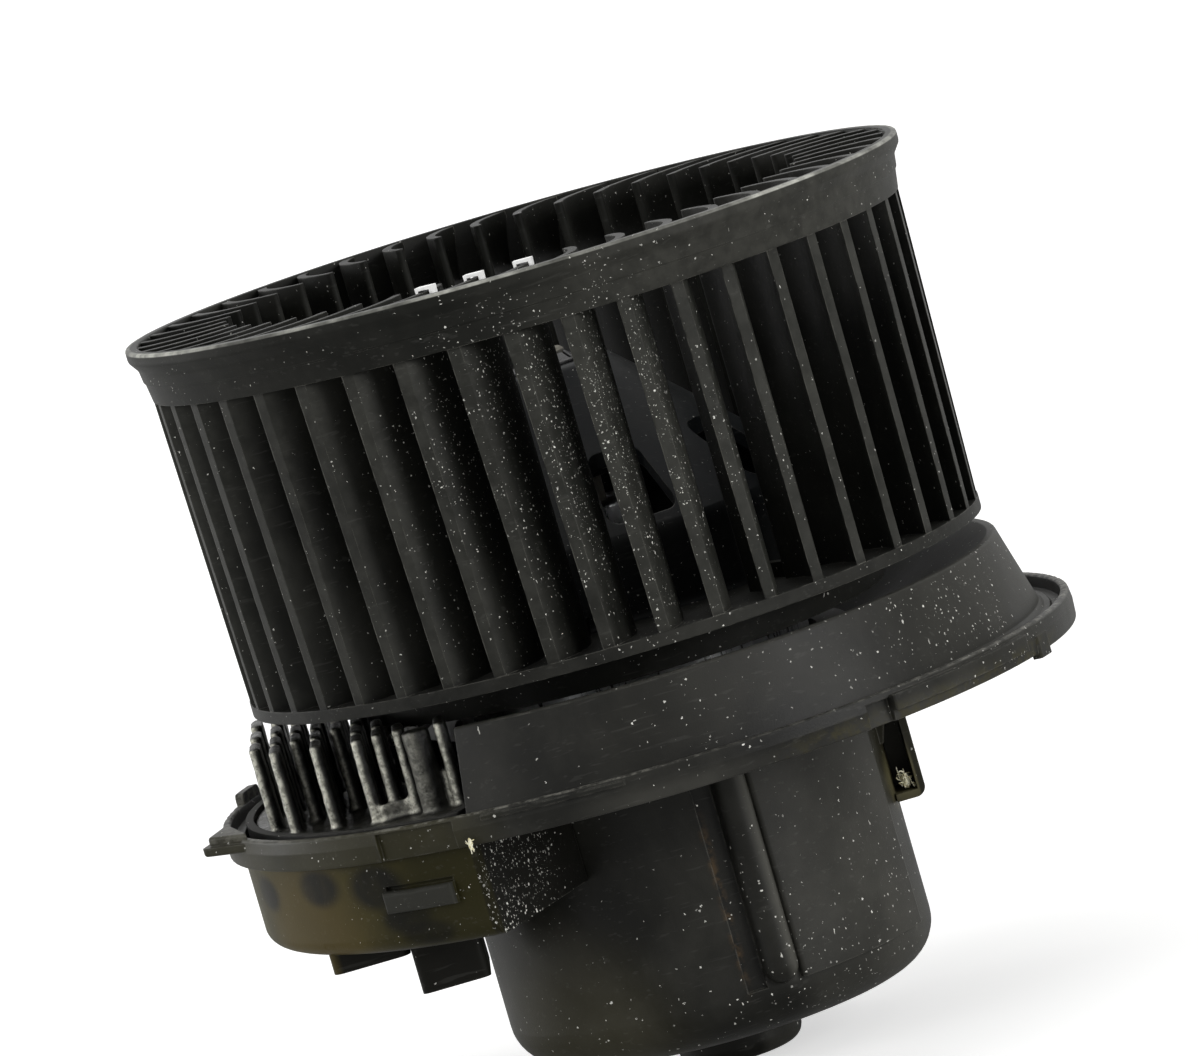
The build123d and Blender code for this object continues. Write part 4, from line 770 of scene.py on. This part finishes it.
def make_lumpy(piece, name, size, depth, strength, middle):
    """Pushes a selected piece's skin in and out by clouds, and shades it smooth."""
    texture = bpy.data.textures.new(name, "CLOUDS")
    texture.noise_scale = size
    texture.noise_depth = depth
    apply_modifier(piece, "DISPLACE", texture=texture, strength=strength, mid_level=middle,
                   texture_coords="LOCAL")
    bpy.ops.object.shade_smooth()


def rough_heat_sink():
    """The finned casting with a lumpy skin and softened, uneven fin edges."""
    piece = bpy.data.objects.new("heat_sink_casting", frame["nodes"]["heat_sink"].data.copy())
    bpy.context.scene.collection.objects.link(piece)
    edit(piece)
    bpy.ops.mesh.remove_doubles(threshold=CASTING_MERGE)
    finish_edit()
    apply_modifier(piece, "REMESH", mode="VOXEL", voxel_size=CASTING_VOXEL)
    make_lumpy(piece, "cast_lumps", size=0.0022, depth=2, strength=CASTING_LUMPS, middle=0.5)
    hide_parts("heat_sink")
    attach(piece, "housing")


def random_vector(deviation):
    return Vector([random.gauss(0, deviation) for _ in range(3)])


def draw_strand(centre, size, low, high, steps):
    """A thread that starts in a clump and wanders, kept between two corners in mm."""
    place = Vector([random.gauss(c, STRAND_SPREAD * s) for c, s in zip(centre, size)])
    heading = random_vector(1).normalized()
    bpy.ops.object.select_all(action="DESELECT")
    bpy.ops.mesh.primitive_circle_add(vertices=5, radius=random.uniform(*STRAND_RADII) / 1000,
                                      fill_type="NGON", location=place / 1000)
    strand = bpy.context.object
    strand.rotation_mode = "QUATERNION"
    strand.rotation_quaternion = Vector((0, 0, 1)).rotation_difference(heading)
    bpy.ops.object.transform_apply(location=True, rotation=True)
    edit(strand)
    for _ in range(steps):
        heading = (heading + random_vector(STRAND_WANDER)).normalized()
        step = heading * STRAND_STEP
        for axis in range(3):
            if not low[axis] < place[axis] + step[axis] < high[axis]:
                heading[axis] *= -1
                step[axis] *= -1
        place = place + step
        bpy.ops.mesh.extrude_region_move(TRANSFORM_OT_translate={"value": step / 1000})
    bpy.ops.mesh.select_all(action="SELECT")
    bpy.ops.mesh.normals_make_consistent(inside=False)
    finish_edit()
    bpy.ops.object.shade_smooth()
    return strand


def fluff(name, centre, size, low, high, strands, steps):
    """A clump of lint with strands that wander out of it. All places are in mm."""
    bpy.ops.object.select_all(action="DESELECT")
    bpy.ops.mesh.primitive_ico_sphere_add(subdivisions=4, radius=1.0, location=(0, 0, 0))
    clump = bpy.context.object
    edit(clump)
    bpy.ops.transform.resize(value=[value / 1000 for value in size])
    bpy.ops.transform.translate(value=[value / 1000 for value in centre])
    finish_edit()
    make_lumpy(clump, name, size=0.0007, depth=3, strength=min(size) / 900, middle=0.55)
    threads = [draw_strand(centre, size, low, high, steps) for _ in range(strands)]
    bpy.ops.object.select_all(action="DESELECT")
    for part in [clump, *threads]:
        part.select_set(True)
    bpy.context.view_layer.objects.active = clump
    bpy.ops.object.join()
    bpy.ops.object.transform_apply(location=True, rotation=True, scale=True)
    clump.name = name
    clump.data.materials.clear()
    clump.data.materials.append(FINISHES["lint"])
    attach(clump, "housing")


def shorten_spring(side):
    """A brush spring gets shorter as its brush is pushed back, with its outer end in the holder. Here
    it only gets a mesh of its own and is not shortened.
    """
    spring = frame["nodes"][f"brush_spring_{side}"]
    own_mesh(spring)


rough_heat_sink()
fluff("catch_lint", centre=(43.3, -6.9, -24.3), size=(0.8, 0.9, 1.5),
      low=(41.6, -8.9, -26.0), high=(44.7, 1.2, -20.5), strands=18, steps=8)
fluff("lip_lint", centre=(-36.9, -75.9, -2.6), size=(0.40, 0.30, 1.2),
      low=(-37.9, -77.3, -5.5), high=(-35.9, -75.0, -0.9), strands=8, steps=4)
shorten_spring("front")
shorten_spring("rear")


# Floor, light and camera

def make_world():
    """Soft white light from all round, and a white background where it is seen or mirrored."""
    world = bpy.data.worlds.new("pale_studio")
    bpy.context.scene.world = world
    world.use_nodes = True
    tree = world.node_tree
    tree.nodes.clear()
    path = add(tree, "ShaderNodeLightPath", {}).outputs
    seen = maths(tree, "MAXIMUM", path["Is Camera Ray"], path["Is Glossy Ray"])
    seen = maths(tree, "MAXIMUM", seen, path["Is Transmission Ray"])
    strength = fitted(tree, seen, 1.0 - ROOM_LIGHT, ROOM_LIGHT)
    light = add(tree, "ShaderNodeBackground", {"Color": WHITE_LIGHT, "Strength": strength})
    add(tree, "ShaderNodeOutputWorld", {"Surface": light.outputs["Background"]})


def make_floor():
    """A wide pale disc, brighter to the camera than to the light."""
    bpy.ops.object.select_all(action="DESELECT")
    bpy.ops.mesh.primitive_circle_add(vertices=96, radius=FLOOR_RADIUS, fill_type="NGON",
                                      location=(0, 0, FLOOR_HEIGHT))
    floor = bpy.context.object
    floor.name = "floor"
    bpy.ops.object.transform_apply(location=True)
    tree, shader, place = start_material("pale_floor")
    patches = noise(tree, place, scale=40.0, detail=4.0)
    path = add(tree, "ShaderNodeLightPath", {}).outputs
    feed(tree, shader, {
        "Base Color": mixed(tree, patches, FLOOR_GREY, FLOOR_PALE),
        "Roughness": 0.9,
        "Specular IOR Level": 0.1,
        "Emission Color": WHITE_LIGHT,
        "Emission Strength": times(tree, path["Is Camera Ray"], FLOOR_GLOW),
    })
    floor.data.materials.append(FINISHES["pale_floor"])


def make_sun(name, place, strength, softness):
    """Broad, even light that comes from a place towards the object. Softness is in degrees."""
    lamp = bpy.data.lights.new(name, "SUN")
    lamp.energy = strength
    lamp.angle = math.radians(softness)
    holder = bpy.data.objects.new(name, lamp)
    holder.location = place
    holder.rotation_mode = "QUATERNION"
    holder.rotation_quaternion = (-Vector(place)).to_track_quat("-Z", "Y")
    bpy.context.scene.collection.objects.link(holder)


def make_camera():
    lens = bpy.data.cameras.new("camera")
    lens.lens = CAMERA_LENS
    lens.sensor_width = SENSOR_WIDTH
    lens.clip_start, lens.clip_end = CAMERA_CLIP
    camera = bpy.data.objects.new("camera", lens)
    camera.location = CAMERA_PLACE
    camera.rotation_euler = [math.radians(turn) for turn in CAMERA_TURN]
    bpy.context.scene.collection.objects.link(camera)
    bpy.context.scene.camera = camera


make_world()
make_floor()
make_sun("key", (1.3, -1.1, 0.45), strength=1.6, softness=30.0)
make_sun("side_left", (-1.6, -0.6, 0.6), strength=0.7, softness=30.0)
make_sun("top", (0.2, 0.5, 1.5), strength=0.45, softness=60.0)
make_sun("rim_left", (-1.5, 0.9, 0.25), strength=0.6, softness=20.0)
make_camera()

bpy.context.scene.view_settings.view_transform = "Standard"
